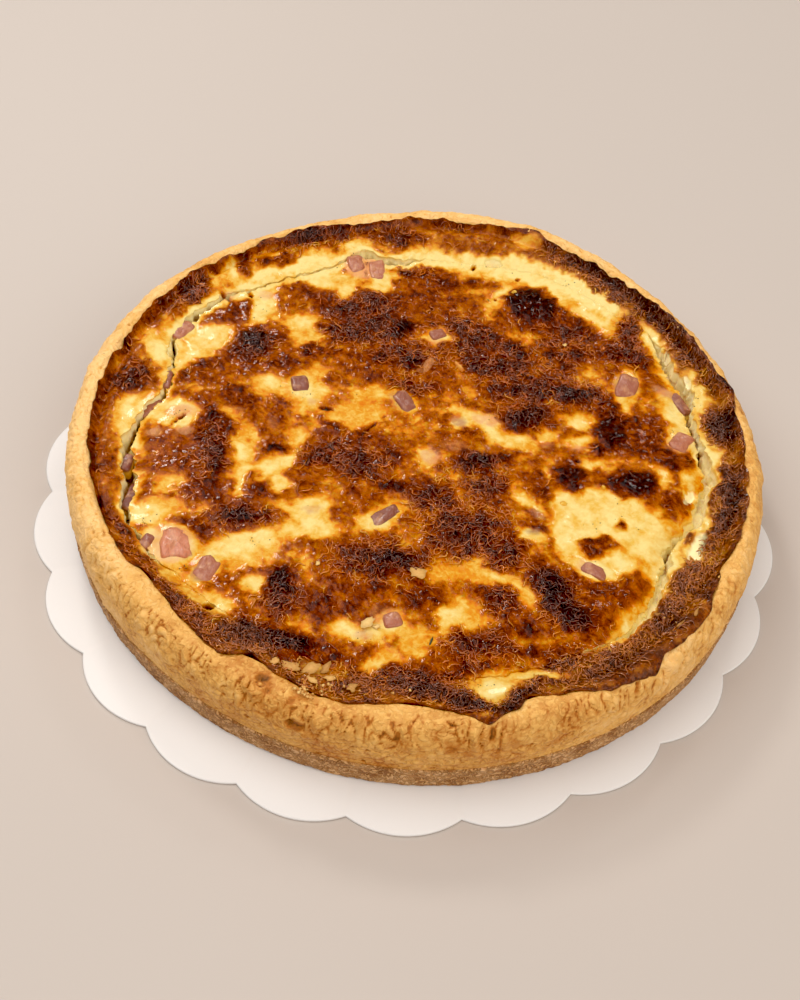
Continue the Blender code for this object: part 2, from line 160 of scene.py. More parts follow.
DARK_PATCHES = (
    (-70, 48, 17, 14, 0), (-74, 40, 10, 8, 0), (-25, 68, 28, 30, 0), (-38, 60, 14, 16, 0),
    (-80, 67, 7, 10, 0), (-44, 75, 15, 8, -10), (-45, 46, 11, 8, 15), (-81, 40, 9, 7, 0),
    (-55, 36, 9, 6, 0), (-73, 19, 10, 8, 0), (-84, 4, 8, 18, 0), (-79, -12, 11, 28, 5),
    (5, 92, 14, 9, 0), (-5, 84, 6, 5, 0), (-20, 35, 8, 8, 0), (-4, 30, 12, 10, 0),
    (60, 72, 30, 16, -15), (42, 74, 16, 9, 0), (86, 72, 10, 22, -8), (85, 57, 24, 12, -10),
    (30, 50, 30, 26, 0), (46, 34, 28, 14, 10), (60, 33, 24, 13, -10), (43, 17, 20, 14, 20),
    (73, 30, 12, 8, 0), (90, 18, 17, 15, 0), (103, 0, 14, 12, 0), (8, 66, 22, 10, 0),
    (22, 62, 16, 18, 0), (-93, -21, 12, 7, 0), (-80, -33, 16, 14, 0), (-60, -32, 9, 14, 0),
    (-57, -9, 9, 7, 0), (-64, -45, 31, 10, 4), (-82, -52, 8, 8, 0), (-45, -78, 10, 24, 0),
    (-30, -85, 12, 9, 0), (-36, -9, 20, 13, 0), (-22, -14, 18, 14, 0), (-8, -8, 12, 8, 0),
    (-2, -24, 18, 8, 0), (-10, -60, 34, 17, 0), (24, -8, 17, 9, 0), (30, -22, 14, 12, 0),
    (8, -28, 16, 10, 0), (20, -43, 26, 22, 0), (35, -50, 13, 18, 0), (49, -18, 8, 14, 0),
    (48, -39, 7, 3, 0), (68, -47, 8, 7, 0), (71, -43, 11, 4, 10), (81, -34, 4, 5, 0),
    (36, -74, 14, 12, 0), (5, -74, 12, 12, 0), (42, -86, 16, 9, 0), (27, -95, 22, 11, 0),
    (48, -97, 20, 6, 0), (57, -102, 10, 6, 0), (24, -104, 14, 7, 0), (-101, 77, 17, 21, 20),
    (-80, 93, 7, 10, 0), (-67, 97, 14, 6, 15), (-62, 100, 6, 6, 0), (-38, 120, 12, 6, 0),
    (-20, 128, 18, 8, 0), (-8, 121, 12, 8, 0), (12, 126, 10, 7, 0), (20, 115, 14, 6, 0),
    (80, 102, 26, 15, -40), (100, 82, 30, 13, -50), (112, 62, 28, 13, -62), (66, 111, 22, 11, -25),
    (123, 41, 7, 14, 20), (108, -56, 12, 10, -20), (119, 46, 8, 6, 30), (122, -18, 13, 34, -4), (115, -40, 9, 18, -30), (82, -97, 32, 13, 20), (70, -105, 18, 6, 10),
    (107, -62, 20, 16, 0), (97, -79, 22, 20, 0), (60, -109, 26, 3, 5), (0, -113, 30, 9, 0),
    (-14, -118, 20, 6, 0), (-55, -101, 34, 10, -10), (-72, -97, 16, 8, -35), (-85, -86, 26, 6, -48),
    (-98, -70, 12, 6, -30), (-108, -57, 24, 5, -60), (-118, 21, 21, 17, 0), (-121, -26, 12, 17, 0),
    (36, -4, 8, 5, 0), (91, 7, 16, 10, 0), (-90, 34, 8, 6, 0), (58, 55, 20, 14, 0),
    (-10, 46, 26, 14, 0), (-34, 4, 8, 6, 0), (-24, -3, 12, 8, 0), (106, -38, 5, 6, 0),
    (33, 34, 12, 16, 0), (50, -62, 12, 14, 0), (-12, -74, 10, 8, 0),
)
BURNT_PATCHES = (
    (-10, 62, 13, 9, 35), (43, 85, 20, 18, 0), (86, -12, 20, 15, 0), (77, 14, 11, 28, -5),
    (62, -10, 9, 14, 0), (54, -68, 11, 18, 10), (62, -80, 16, 11, -30), (-55, 114, 26, 9, 20),
    (-16, 118, 18, 7, -8), (72, 106, 8, 4, -30), (47, 131, 13, 5, -20), (122, 17, 14, 18, 0), (123, -17, 8, 26, -4), (119, -32, 6, 12, -28),
    (-118, 21, 11, 8, 0), (-40, -100, 30, 8, -12), (30, -122, 30, 6, -4), (44, -116, 16, 5, 45),
    (12, -118, 14, 6, 0), (-71, 49, 9, 9, 0), (-46, -74, 7, 12, 0), (43, 18, 12, 8, 20),
    (60, 33, 14, 6, 0), (-65, -44, 14, 4, 0), (24, -8, 8, 5, 0), (126, 40, 4, 10, 25),
    (-124, -28, 6, 10, 0), (-5, -59, 12, 7, 0), (-57, -9, 5, 3, 0), (-7, -24, 8, 3, 0),
)
# Patches blend into what lies under them in this order.
BROWNING_STEPS = (
    (BROWN_PATCHES, 0.60, 3.0),
    (GOLDEN_PATCHES, 0.36, 3.0),
    (YELLOW_PATCHES, 0.19, 2.6),
    (CREAM_PATCHES, 0.05, 2.6),
    (DARK_PATCHES, 0.74, 3.4),
    (BURNT_PATCHES, 0.97, 3.6),
)  # patches, browning level, width of the soft edge
BROWNING_BASE = 0.50
RIM_BROWNING = 0.72  # level that the skin reaches along its outer edge
RIM_BROWNING_WIDTH = 3.2

# Where melted shreds of cheese lie matted, as x, y, length, width, turn
SHRED_PATCHES = (
    (-26, 67, 32, 36, 0), (-8, 50, 30, 16, -10), (20, 60, 20, 26, 0), (30, 47, 30, 24, 0),
    (50, 38, 34, 22, 0), (60, 60, 26, 22, 0), (42, 24, 24, 22, 0), (66, 34, 20, 14, 0),
    (86, 64, 18, 26, 0), (-71, 47, 16, 18, 0), (-4, 30, 16, 12, 0), (-36, -9, 20, 14, 0),
    (-20, -14, 24, 14, 0), (-9, -60, 38, 20, 0), (20, -40, 34, 34, 0), (36, -50, 16, 22, 0),
    (26, -14, 24, 20, 0), (8, -28, 18, 16, 0), (56, -72, 16, 28, 20), (28, -96, 26, 14, 0),
    (-45, -80, 10, 20, 0), (36, -74, 12, 12, 0), (0, -114, 34, 10, 0), (30, -121, 34, 7, -4),
    (-56, -101, 36, 12, -10), (-78, -92, 34, 8, -45), (108, -62, 22, 32, -12), (97, -79, 22, 22, 0),
    (82, -97, 34, 14, 20), (80, 102, 28, 14, -40), (100, 82, 32, 12, -50), (112, 62, 28, 12, -62),
    (124, -20, 14, 40, -4), (121, 18, 16, 24, 0), (-55, 114, 28, 10, 20), (-102, 76, 16, 22, 20),
    (-80, -12, 10, 26, 0), (-64, -45, 26, 8, 4), (8, 66, 18, 10, 0), (-10, 100, 20, 8, 0),
)

# Ham that shows through the custard, as x, y, length, width, turn, strength and tone from pink to grey
HAM_STAINS = (
    (-95, 6, 13, 6, 10, 0.6, 0.1), (-104, -6, 6, 5, 0, 0.7, 0.0), (-92, -4, 7, 5, 0, 0.7, 0.1),
    (-43, 18, 5, 4, 0, 0.4, 0.3), (-58, 5, 4, 6, 0, 0.5, 0.3),
    (-39, 3, 6, 3.5, 10, 0.6, 0.9), (16, 13, 6, 6, 40, 0.7, 0.6), (27, 15, 11, 6, -10, 0.6, 0.05),
    (6, -7, 8, 9, 0, 0.6, 0.15), (15, -1, 10, 6, 0, 0.35, 0.0), (48, -32, 6, 4, -30, 0.8, 0.8),
    (-38, -38, 7, 4, 15, 0.55, 0.35), (52, 4, 5, 4, 0, 0.5, 0.7), (-69, 77, 7, 5, 0, 0.5, 0.1),
    (-85, 75, 8, 4, 30, 0.6, 0.2), (-14, -94, 7, 4, 0, 0.5, 0.35), (100, 39, 10, 5, -20, 0.7, 0.3),
    (64, 4, 6, 3, 0, 0.6, 0.0), (-20, 34, 7, 5, 0, 0.6, 1.0), (-29, 100, 18, 16, 0, 0.7, 0.0),
    (-76, -73, 7, 6, 30, 0.7, 0.7), (-90, -60, 20, 18, 0, 0.5, 0.05), (48, -40, 8, 4, 10, 0.7, 0.9),
    (5, 58, 7, 4, 0, 0.5, 0.1), (105, 10, 12, 8, 20, 0.45, 0.1), (84, 40, 11, 12, 0, 0.5, 0.6),
    (-38, -107, 9, 7, 10, 0.7, 1.0), (68, -56, 11, 6, -20, 0.5, 0.1), (-7, -85, 12, 8, 0, 0.4, 0.1),
    (-8, 22, 9, 12, 20, 0.3, 0.7),
)
# Dents and browned spots of the crust, as x, y, z, half-sizes along X, Y and Z, depth and browning
CRUST_MARKS = (
    (-47, -119, 36, 3.0, 3.0, 4, 0.9, 0.45), (-45, -124, 35, 2.0, 4.0, 3, 0.6, 0.25), (8, -131, 33, 4.5, 2.5, 3, 1.0, 0.40),
    (-35, -133, 28, 3.5, 3.0, 3, 0.7, 0.45), (84.5, -112, 33, 0.9, 7.0, 5, 1.2, 0.50), (-31, -124, 36, 6.0, 5.0, 5, 1.3, 0.10),
    (-26, -128, 34, 3.0, 3.0, 3, 0.6, 0.0), (87, -115, 29, 0.9, 3.0, 4, 1.0, 0.45), (0, -134, 30, 2.0, 2.0, 2, 0.5, 0.25),
)
# How dry and dull the ring's skin is, as angle and share
DRYNESS = (
    (0, 0.9), (35, 0.9), (60, 0.8), (80, 0.3), (120, 0.1), (200, 0.2), (228, 0.6), (245, 0.9), (280, 0.7),
    (305, 1.0), (345, 1.0),
)

# Outlines -----------------------------------------------------------------------------------

# The skin's outer edge on the crust, as angle and radius
SKIN_EDGE = (
    (0, 129.5), (10, 129.5), (16, 132), (20, 129.5), (30, 129.5), (40, 128.5), (50, 128), (57, 128.5),
    (62, 128.5), (66, 130), (70, 133), (74, 131.5), (78, 130.5), (86, 130), (95, 130), (100, 128.5),
    (105, 127), (112, 128.5), (118, 129), (128, 128), (135, 129), (142, 130), (156, 130),
    (162, 129.5), (170, 130), (178, 129), (185, 128.5), (195, 128), (200, 125.5), (208, 127),
    (215, 127), (220, 122.5), (225, 123.5), (232, 125.5), (240, 127.5), (245, 121.5), (250, 124),
    (255, 126), (262, 128), (268, 125.5), (273, 123.5), (278, 128), (284, 134), (288, 131),
    (292, 126), (298, 130), (305, 135), (311, 137), (315, 134), (320, 135), (326, 134), (332, 130),
    (335, 128.5), (340, 130.5), (348, 131), (354, 130),
)
# The crack round the middle of the custard, as angle, radius, width at the lips and depth
CRACK = (
    (0, 115.3, 4.2, 5), (4, 113.6, 2.6, 7), (8, 112.8, 1.8, 7), (12, 112.8, 2.4, 7), (15, 113.2, 4.4, 5),
    (17.5, 114.8, 5.2, 5), (20, 116, 4.4, 6), (24.5, 114.5, 3.2, 7), (28, 115.5, 3.2, 5), (33, 117, 1.4, 3),
    (38, 119, 0.5, 0.1), (47, 114, 0.5, 0.1), (57, 114, 0.5, 0.1), (65, 114, 0.5, 0.1),
    (72, 111.5, 0.5, 0.1), (83, 108.5, 0.5, 0.1), (91, 107.5, 0.5, 0.1), (96, 106, 1.8, 4), (100, 105.5, 2.6, 6),
    (105.5, 112, 4.4, 7), (110, 109, 1.6, 6), (114, 107, 1.2, 5), (120, 107, 1.2, 5),
    (126, 108.3, 1.0, 4), (132, 109.5, 1.0, 4), (138, 113, 1.6, 5), (142, 114.3, 1.8, 6),
    (146, 116, 2.8, 8), (150, 115.2, 2.8, 8), (154, 115.2, 2.0, 7), (158, 112, 2.4, 7),
    (163, 107, 1.6, 6), (168, 105, 2.4, 6), (172, 104.2, 1.8, 6), (176, 108, 2.4, 7),
    (181, 111.5, 2.0, 7), (186, 114.7, 4.4, 10), (191, 114, 5.6, 10), (195, 113.5, 5.4, 10),
    (200, 116, 4.6, 10), (204, 118.5, 2.6, 8), (209, 117.3, 2.0, 5), (215, 116, 1.4, 3),
    (221, 112, 0.6, 0.3), (240, 110, 0.6, 0.4), (262, 112, 0.6, 0.4), (300, 114, 0.8, 0.6),
    (308, 116.5, 1.4, 2), (313, 118, 2.6, 3), (319, 116.8, 4.2, 3.5), (326, 113.5, 4.0, 4),
    (331, 110.5, 3.6, 4), (336, 108.2, 3.0, 6), (340, 109.8, 3.4, 6), (344, 113.2, 5.2, 4.5),
    (348, 113.8, 5.2, 4.5), (352, 114.2, 4.0, 5), (356, 117.0, 4.8, 5),
)
# How far the ring rises above the middle at the crack, as angle and millimetres
RING_RISE = (
    (0, 2.0), (30, 2.0), (60, 1.2), (95, 1.0), (115, 0.3), (145, 0.4), (165, 0.8), (185, 1.6), (205, 1.6),
    (230, 1.4), (300, 2.0), (345, 2.4),
)
# How pale the skin is along the crack, as angle, share and reach in millimetres
PALE_LIPS = (
    (0, 0.8, 3.5), (14, 0.6, 3.5), (34, 0.2, 2.5), (38, 0.0, 2), (43, 0.3, 3), (47, 1.0, 5.5), (60, 1.0, 6), (80, 0.9, 5),
    (96, 0.9, 4.5), (112, 0.9, 4.5), (130, 0.8, 4), (150, 0.9, 4), (168, 0.3, 3), (180, 0.5, 3), (198, 0.5, 3),
    (212, 0.2, 2), (225, 0.0, 2), (300, 0.0, 2), (318, 0.5, 3), (332, 0.7, 3.5), (350, 0.8, 3.5),
)
# Shift of the ring's browning beyond the crack, as angle and shift
RING_SHIFT = (
    (0, -0.10), (20, 0), (32, 0.05), (45, 0.20), (58, 0.13), (72, -0.13), (90, -0.14), (105, 0), (120, -0.11),
    (135, -0.06), (150, 0.07), (165, -0.11), (180, -0.06), (195, -0.12), (212, -0.05), (240, 0), (300, -0.04),
    (330, -0.09), (345, -0.12),
)
# Lesser tears and holes, as x, y, length, width, turn, depth and the painted shade inside (over 1: a slit painted near
# black in the burnt colour, as painted shade)
TEARS = (
    (109.5, 43.0, 8, 2.6, 100, 2.5, 0.5), (108.6, -45.0, 20, 5.5, 71, 1.2, 0.2), (102.0, -38.0, 4.5, 3.0, 60, 4.0, 0.9),
    (98.0, -44.0, 4.5, 2.5, 50, 4.0, 0.8), (108.0, -16.0, 8, 3.0, 60, 1.6, 0.4), (27.5, 108.5, 6, 3.2, 0, 4.5, 0.9),
    (19.0, 105.5, 1.8, 2.2, 0, 3.0, 1.4), (-71.0, -88.0, 3.6, 3.0, 0, 4.5, 1.2), (-19.5, 5.5, 10, 1.3, 52, 1.4, 1.9),
    (-95.0, 2.5, 7, 1.3, 50, 2.5, 1.6), (33.0, -115.5, 3.0, 1.4, 0, 1.0, 0.9), (36.5, -114.5, 2.0, 1.3, 20, 1.0, 0.9),
    (-29.0, 107.5, 5, 3.0, -30, 4.5, 0.9), (102.0, 56.0, 8, 2.0, 100, 4.5, 0.7), (-104.0, 41.0, 9, 3.0, 88, 4.5, 1.0),
    (64.0, -2.5, 2.2, 1.8, 0, 1.2, 1.8), (-76.0, 77.0, 4, 1.4, -60, 3.0, 1.5), (-86.0, 74.5, 5, 1.6, -40, 4.0, 1.4),
    (38.0, 99.5, 1.6, 1.2, 0, 1.5, 1.4), (29.0, 86.5, 1.4, 1.4, 0, 1.2, 1.4), (-37.0, 15.0, 4.5, 1.2, 0, 1.0, 1.8),
)

# Drop of the middle's outer edge towards the crack, as angle and drop
SAGGING = (
    (0, 2.6), (10, 2.0), (30, 2.0), (45, 1.2), (58, 1.2), (90, 1.2), (98, 1.0), (140, 0.6), (185, 1.6),
    (210, 0.6), (300, 0.6), (320, 2.2), (335, 2.4), (350, 3.0),
)
# Thin pastry flakes on the skin, as x, y, length, width, turn, lean and tone
FLAKES = (
    (-13, -89.5, 6.5, 4.0, 40, 12, 0.1), (-9.5, -90.5, 3.0, 2.0, 10, 20, 0.1), (4, -65, 7.5, 5.5, -50, 16, 0.35),
    (-33.2, -65, 2.2, 1.8, 70, 10, 0.1), (59, 61, 2.2, 1.6, 20, 15, 0.1), (-31, -112, 7.5, 4.0, 30, 10, 0.45),
    (-38, -112, 7.5, 4.0, -20, 14, 0.5), (-26, -111, 5.0, 3.0, 60, 16, 0.6), (-24, -115.5, 5.0, 2.6, 0, 8, 0.35),
    (-16, -119.5, 4.0, 3.2, 30, 10, 0.6), (106, -77, 3.4, 1.5, 70, 12, 0.7), (100, -82, 3.6, 1.6, 40, 16, 0.75),
    (-30, -117, 5.0, 2.4, -30, 12, 0.3), (-44, -111, 4.0, 2.6, 20, 12, 0.4), (92, -78, 2.4, 1.6, 10, 16, 0.8),
)
# Soft beige and cream lumps in the skin, as x, y, length, width, height, turn and tone
LUMPS = (
    (2, 43.5, 10.0, 4.2, 0.9, 65, 0.40, 0.6), (58.5, -25, 3.4, 3.0, 0.5, 0, 0.16, 0),
    (37, 91, 2.6, 2.2, 1.0, 0, 0.12, 0), (74, -16, 2.0, 1.8, 0.9, 0, 0.16, 0), (-104, -6, 5.5, 4.5, 1.4, 20, 0.33, 0.7),
    (-92, -4.5, 5.5, 4.0, 1.3, 0, 0.34, 0.8), (-40, -106.5, 9.0, 6.5, 1.8, 10, 0.66, 0),
    (15, 44, 8.0, 2.2, 1.0, -55, 0.30, 0.3), (-1, 40, 4.0, 3.0, 1.0, 0, 0.50, 0.4),
)
PEPPER_SPOTS = (
    (-48, 22, 9, 13, 14), (-96, 4, 12, 9, 8), (27, 86, 4, 4, 3), (105, 18, 6, 8, 4), (64, 99, 24, 5, 8),
    (100, 54, 5, 14, 7), (113, 33, 6, 12, 5), (74, -34, 34, 20, 14), (-60, -56, 26, 9, 8), (-100, -50, 9, 7, 12),
    (-84, -70, 8, 8, 7), (20, 106, 40, 6, 10), (-30, 102, 14, 10, 6), (30, -113, 16, 6, 8), (-70, 70, 10, 16, 6),
    (30, 12, 22, 10, 6), (-12, -94, 16, 6, 6), (-5, 0, 180, 180, 60),
)  # x, y, spread along X and Y, and how many
# Green herb bits, as x, y, length and turn
HERBS = ((10.5, -95, 4.4, 75), (-38, 14, 2.6, 5))
CRUMB_PLACES = (
    (-32.5, -122.5, 9, 8, 46), (-24, -118, 16, 5, 22), (-40, -108, 12, 6, 14), (-33, -132, 6, 6, 10),
    (97, -78, 16, 16, 9), (0, -119, 30, 5, 8),
)  # x, y, spread along X and Y, and how many
HAM_SINK = 0.15
HAM_SHOWN = 0.85  # how far a die stands out of the bank round it  # how much lower the dice lie than their plain solids
# Ham dice in the order of their nodes: length, width, height, turn, tilt, and tone from pink to grey
HAM_DICE = (
    (15.5, 12.5, 10, 100, 8, 0.05), (12.0, 8.5, 9, 68, 12, 0.45), (8.0, 5.0, 8, 62, 6, 0.7),
    (13.5, 5.0, 8, 80, 5, 0.9), (9.0, 4.5, 8, 86, 4, 0.9), (11.5, 5.5, 8, 50, 6, 0.55),
    (11.0, 3.6, 8, 88, 4, 0.7), (11.0, 6.5, 8, 55, 8, 0.4), (11.5, 7.5, 9, 104, 10, 0.35),
    (12.5, 7.5, 9, 98, 10, 0.3), (7.5, 6.0, 7, 30, 8, 0.6), (9.5, 7.5, 8, 100, 12, 0.8),
    (12.0, 7.5, 8, 125, 12, 0.7), (14.0, 9.5, 9, 76, 10, 0.5), (13.0, 5.5, 8, 120, 8, 0.75),
    (10.5, 8.5, 9, 62, 8, 0.35), (14.0, 6.5, 8, 40, 10, 0.8), (11.0, 6.5, 8, 155, 8, 0.55),
    (7.5, 7.0, 8, 20, 8, 0.4),
)
# Waves of the outline, as height, number round the edge, and start in radians
OUTLINE_WAVES = ((0.9, 2, -2.84), (1.0, 3, -2.0), (0.8, 4, 2.48), (0.55, 5, 1.0), (0.3, 6, -1.06))
CREST_WAVES = ((0.8, 2, 0.6), (0.6, 5, 2.1))


def waves(angle, rows):
    """Sum of sine waves round the quiche."""
    return sum(height * np.sin(count * angle + start) for height, count, start in rows)


def round_table(angle, rows, column):
    """A listed value at each angle, eased between the rows by 3t^2 - 2t^3."""
    angles = np.array([row[0] for row in rows] + [rows[0][0] + 360.0])
    values = np.array([row[column] for row in rows] + [rows[0][column]], float)
    degrees = np.degrees(angle) % 360
    before = np.clip(np.searchsorted(angles, degrees, "right") - 1, 0, len(rows) - 1)
    share = (degrees - angles[before]) / (angles[before + 1] - angles[before])
    share = share * share * (3 - 2 * share)
    return values[before] + (values[before + 1] - values[before]) * share


def skin_edge(angle):
    """Radius of the skin's ragged outer edge."""
    place = (130 * np.cos(angle), 130 * np.sin(angle))
    return round_table(angle, SKIN_EDGE, 1) + 0.9 * noise(place, 7, 7) + 0.35 * noise(place, 3.0, 8)


# Noise --------------------------------------------------------------------------------------


def scrambled(numbers):
    """Well mixed 32-bit numbers: the bits are folded onto themselves and multiplied, twice."""
    mixed = numbers.astype(np.uint32)
    mixed ^= mixed >> np.uint32(16)
    mixed *= np.uint32(0x7FEB352D)
    mixed ^= mixed >> np.uint32(15)
    mixed *= np.uint32(0x846CA68B)
    mixed ^= mixed >> np.uint32(16)
    return mixed


def noise(places, cell, seed):
    """Smooth noise from about -1 to 1, for places given as a tuple of equal arrays.

    Each corner of a lattice of that cell size has a fixed random slope. A place takes the slopes of the
    corners round it, each times its distance, blended by 6t^5 - 15t^4 + 10t^3.
    """
    scaled = [np.asarray(axis, float) / cell + 17.3 * (seed % 7 + number) for number, axis in enumerate(places)]
    floors = [np.floor(axis) for axis in scaled]
    parts = [axis - floor for axis, floor in zip(scaled, floors)]
    eased = [part * part * part * (part * (6 * part - 15) + 10) for part in parts]
    lattice = [floor.astype(np.int64) for floor in floors]
    total = 0.0
    for corner in itertools.product((0, 1), repeat=len(places)):
        key = np.uint32(seed * 2654435761 % 2**32) + np.zeros(lattice[0].shape, np.uint32)
        for axis, step in zip(lattice, corner):
            key = scrambled(key + (axis + step).astype(np.uint32))
        weight, slope = 1.0, 0.0
        for number, step in enumerate(corner):
            pull = ((key >> np.uint32(10 * number)) & np.uint32(1023)).astype(float) / 511.5 - 1
            slope = slope + pull * (parts[number] - step)
            weight = weight * (eased[number] if step else 1 - eased[number])
        total = total + weight * slope
    return total * 1.9


def layered_noise(places, cell, layers, seed, fade=0.5):
    """Noise added to itself: each layer's cell is half as large as the last, and its strength is faded."""
    total, strength, reach = 0.0, 1.0, 0.0
    for layer in range(layers):
        total = total + strength * noise(places, cell / 2**layer, seed + 31 * layer)
        reach += strength
        strength *= fade
    return total / reach


def eased_step(low, high, values):
    """0 up to low, 1 from high on, and an S-shaped rise, 3t^2 - 2t^3, between them."""
    share = np.clip((values - low) / (high - low), 0, 1)
    return share * share * (3 - 2 * share)


def bump(x, y, row):
    """Signed distance, in millimetres, from a patch's elliptical edge: negative inside it."""
    patch_x, patch_y, length, width, turn = row
    cosine, sine = math.cos(math.radians(turn)), math.sin(math.radians(turn))
    along = ((x - patch_x) * cosine + (y - patch_y) * sine) / (length / 2)
    across = ((y - patch_y) * cosine - (x - patch_x) * sine) / (width / 2)
    return (np.hypot(along, across) - 1) * min(length, width) / 2


def spread_of_domes(x, y, cell, seed):
    """Round blisters, from 0 between them to 1 on top: one dome in each cell of a lattice, at a random
    place in it and of a random size. A dome's height is (1 - d^2)^2 for a distance d from its middle."""
    home_x, home_y = np.floor(x / cell), np.floor(y / cell)
    tallest = np.zeros(np.shape(x))
    for step_x, step_y in itertools.product((-1, 0, 1), repeat=2):
        cell_x = (home_x + step_x).astype(np.int64).astype(np.uint32)
        cell_y = (home_y + step_y).astype(np.int64).astype(np.uint32)
        key = scrambled(scrambled(cell_x + np.uint32(seed)) + cell_y)
        rolls = [((key >> np.uint32(shift)) & np.uint32(1023)).astype(float) / 1023 for shift in (0, 10, 20)]
        dome_x = (home_x + step_x + 0.1 + 0.8 * rolls[0]) * cell
        dome_y = (home_y + step_y + 0.1 + 0.8 * rolls[1]) * cell
        size = cell * (0.35 + 0.4 * rolls[2])
        away = np.clip(np.hypot(x - dome_x, y - dome_y) / size, 0, 1)
        tallest = np.maximum(tallest, (1 - away**2) ** 2 * (0.45 + 0.55 * rolls[2]))
    return tallest


def shred_cover(x, y):
    """How thickly shreds lie at a place, from 0 to 1: noise-edged patches."""
    push = 3.0 * noise((x, y), 8, 71)
    cover = np.zeros(np.shape(x))
    for row in SHRED_PATCHES:
        cover = np.maximum(cover, eased_step(3.5, -2.5, bump(x + push, y - push, row)))
    return cover


def ham_stains(x, y):
    """Strength and tone of the ham that shows through at a place; the stronger of two stains holds."""
    push = 1.1 * noise((x, y), 4, 161) + 0.6 * noise((x, y), 1.8, 162)
    strength, tone = np.zeros(np.shape(x)), np.zeros(np.shape(x))
    for row in HAM_STAINS:
        here = row[5] * eased_step(1.0, -1.2, bump(x + push, y - push, row[:5]))
        tone = np.where(here > strength, row[6], tone)
        strength = np.maximum(strength, here)
    return strength, tone


def dryness(x, y):
    """How dry and dull the skin is at a place: a share for each angle, beyond the crack."""
    angle = np.arctan2(y, x)
    beyond = np.hypot(x, y) - round_table(angle, CRACK, 1) + 3 * noise((x, y), 9, 171)
    return round_table(angle, DRYNESS, 1) * eased_step(-3, 4, beyond)


def round_ham(x, y):
    """How near the ham dice a place is, from 0 to 1 over 3 mm outside their outlines, and the height that
    the custard is drawn up to there: a little below the die's top."""
    near, height = np.zeros(np.shape(x)), np.zeros(np.shape(x))
    ragged = 0.6 * noise((x, y), 3, 163)
    for number, (length, width, tall, turn, _, _) in enumerate(HAM_DICE, start=1):
        low, high = FRAME_BOXES[f"ham_{number:02d}"]
        centre = (low + high) / 2 - (QUICHE_X, QUICHE_Y, QUICHE_Z)
        here = eased_step(3.0, -0.5, bump(x, y, (centre[0], centre[1], length, width, turn)) + ragged)
        height = np.where(here > near, centre[2] + tall / 2 - HAM_SINK - HAM_SHOWN, height)
        near = np.maximum(near, here)
    return near, height


def browning(x, y):
    """Browning level over the custard's skin.

    The places are first pushed about by three sizes of noise, which makes the patches' edges ragged.
    Every patch then pulls the level towards its own. Mottling and blisters' tops are strongest at
    middle levels, and the skin darkens towards its outer edge.
    """
    warp_x, warp_y = x, y
    for cell, push, seed in ((13, 2.4, 3), (5.5, 1.7, 11), (2.2, 0.8, 19)):
        warp_x = warp_x + push * noise((x, y), cell, seed)
        warp_y = warp_y + push * noise((x, y), cell, seed + 101)
    level = BROWNING_BASE + 0.15 * layered_noise((x, y), 11, 2, 41)
    for patches, target, soft_edge in BROWNING_STEPS:
        for row in patches:
            soft = min(soft_edge, 0.45 * min(row[2], row[3]))
            pull = eased_step(soft, -soft, bump(warp_x, warp_y, row))
            level = level + (target - level) * pull
    angle, radius = np.arctan2(y, x), np.hypot(x, y)
    from_crack = radius - round_table(angle, CRACK, 1)
    level = level + round_table(angle, RING_SHIFT, 1) * eased_step(1, 6, from_crack)
    reach = round_table(angle, PALE_LIPS, 2) * (1 + 0.5 * noise((x, y), 5, 85) + 0.25 * noise((x, y), 1.8, 86))
    level = level * (1 - round_table(angle, PALE_LIPS, 1) * eased_step(1.25, 0.55, np.abs(from_crack) / reach))
    # Painted shade: the skin under matted shreds is darkened a little, for the gaps between them.
    level = level + 0.06 * shred_cover(x, y) * eased_step(0.3, 0.5, level)
    level = level * (1 - 0.6 * round_ham(x, y)[0])
    rim = radius - skin_edge(angle)
    rim_noise = 2.0 * noise((x, y), 9, 83) + 0.8 * noise((x, y), 3, 84)
    rim_pull = eased_step(-RIM_BROWNING_WIDTH, -0.2 * RIM_BROWNING_WIDTH, rim + rim_noise)
    level = np.maximum(level, level + (RIM_BROWNING - level) * rim_pull)
    middling = eased_step(0.1, 0.45, level) * (1 - 0.6 * eased_step(0.75, 1.0, level))
    mottling = 0.34 * layered_noise((x, y), 6.5, 3, 57, 0.75)
    blistering = 0.08 * (spread_of_domes(x, y, 5.0, 5) - 0.3) + 0.06 * (spread_of_domes(x, y, 2.4, 9) - 0.3)
    pale_mottling = 0.15 * layered_noise((x, y), 7, 3, 61, 0.6)
    return np.clip(level + pale_mottling + (mottling + blistering) * middling, 0, 1)


# End of noise and browning

# Meshes -------------------------------------------------------------------------------------


def to_world(points):
    """Points from the quiche's own millimetres to the frame's metres."""
    return (np.asarray(points, float) + (QUICHE_X, QUICHE_Y, QUICHE_Z)) * MM


def grid_quads(rows, columns, wrap_rows=False, wrap_columns=False):
    """Point numbers of the quads of a grid whose points are numbered row by row."""
    numbers = np.arange(rows * columns).reshape(rows, columns)
    if wrap_rows:
        numbers = np.vstack([numbers, numbers[:1]])
    if wrap_columns:
        numbers = np.hstack([numbers, numbers[:, :1]])
    corners = (numbers[:-1, :-1], numbers[:-1, 1:], numbers[1:, 1:], numbers[1:, :-1])
    return np.stack([corner.ravel() for corner in corners], 1)


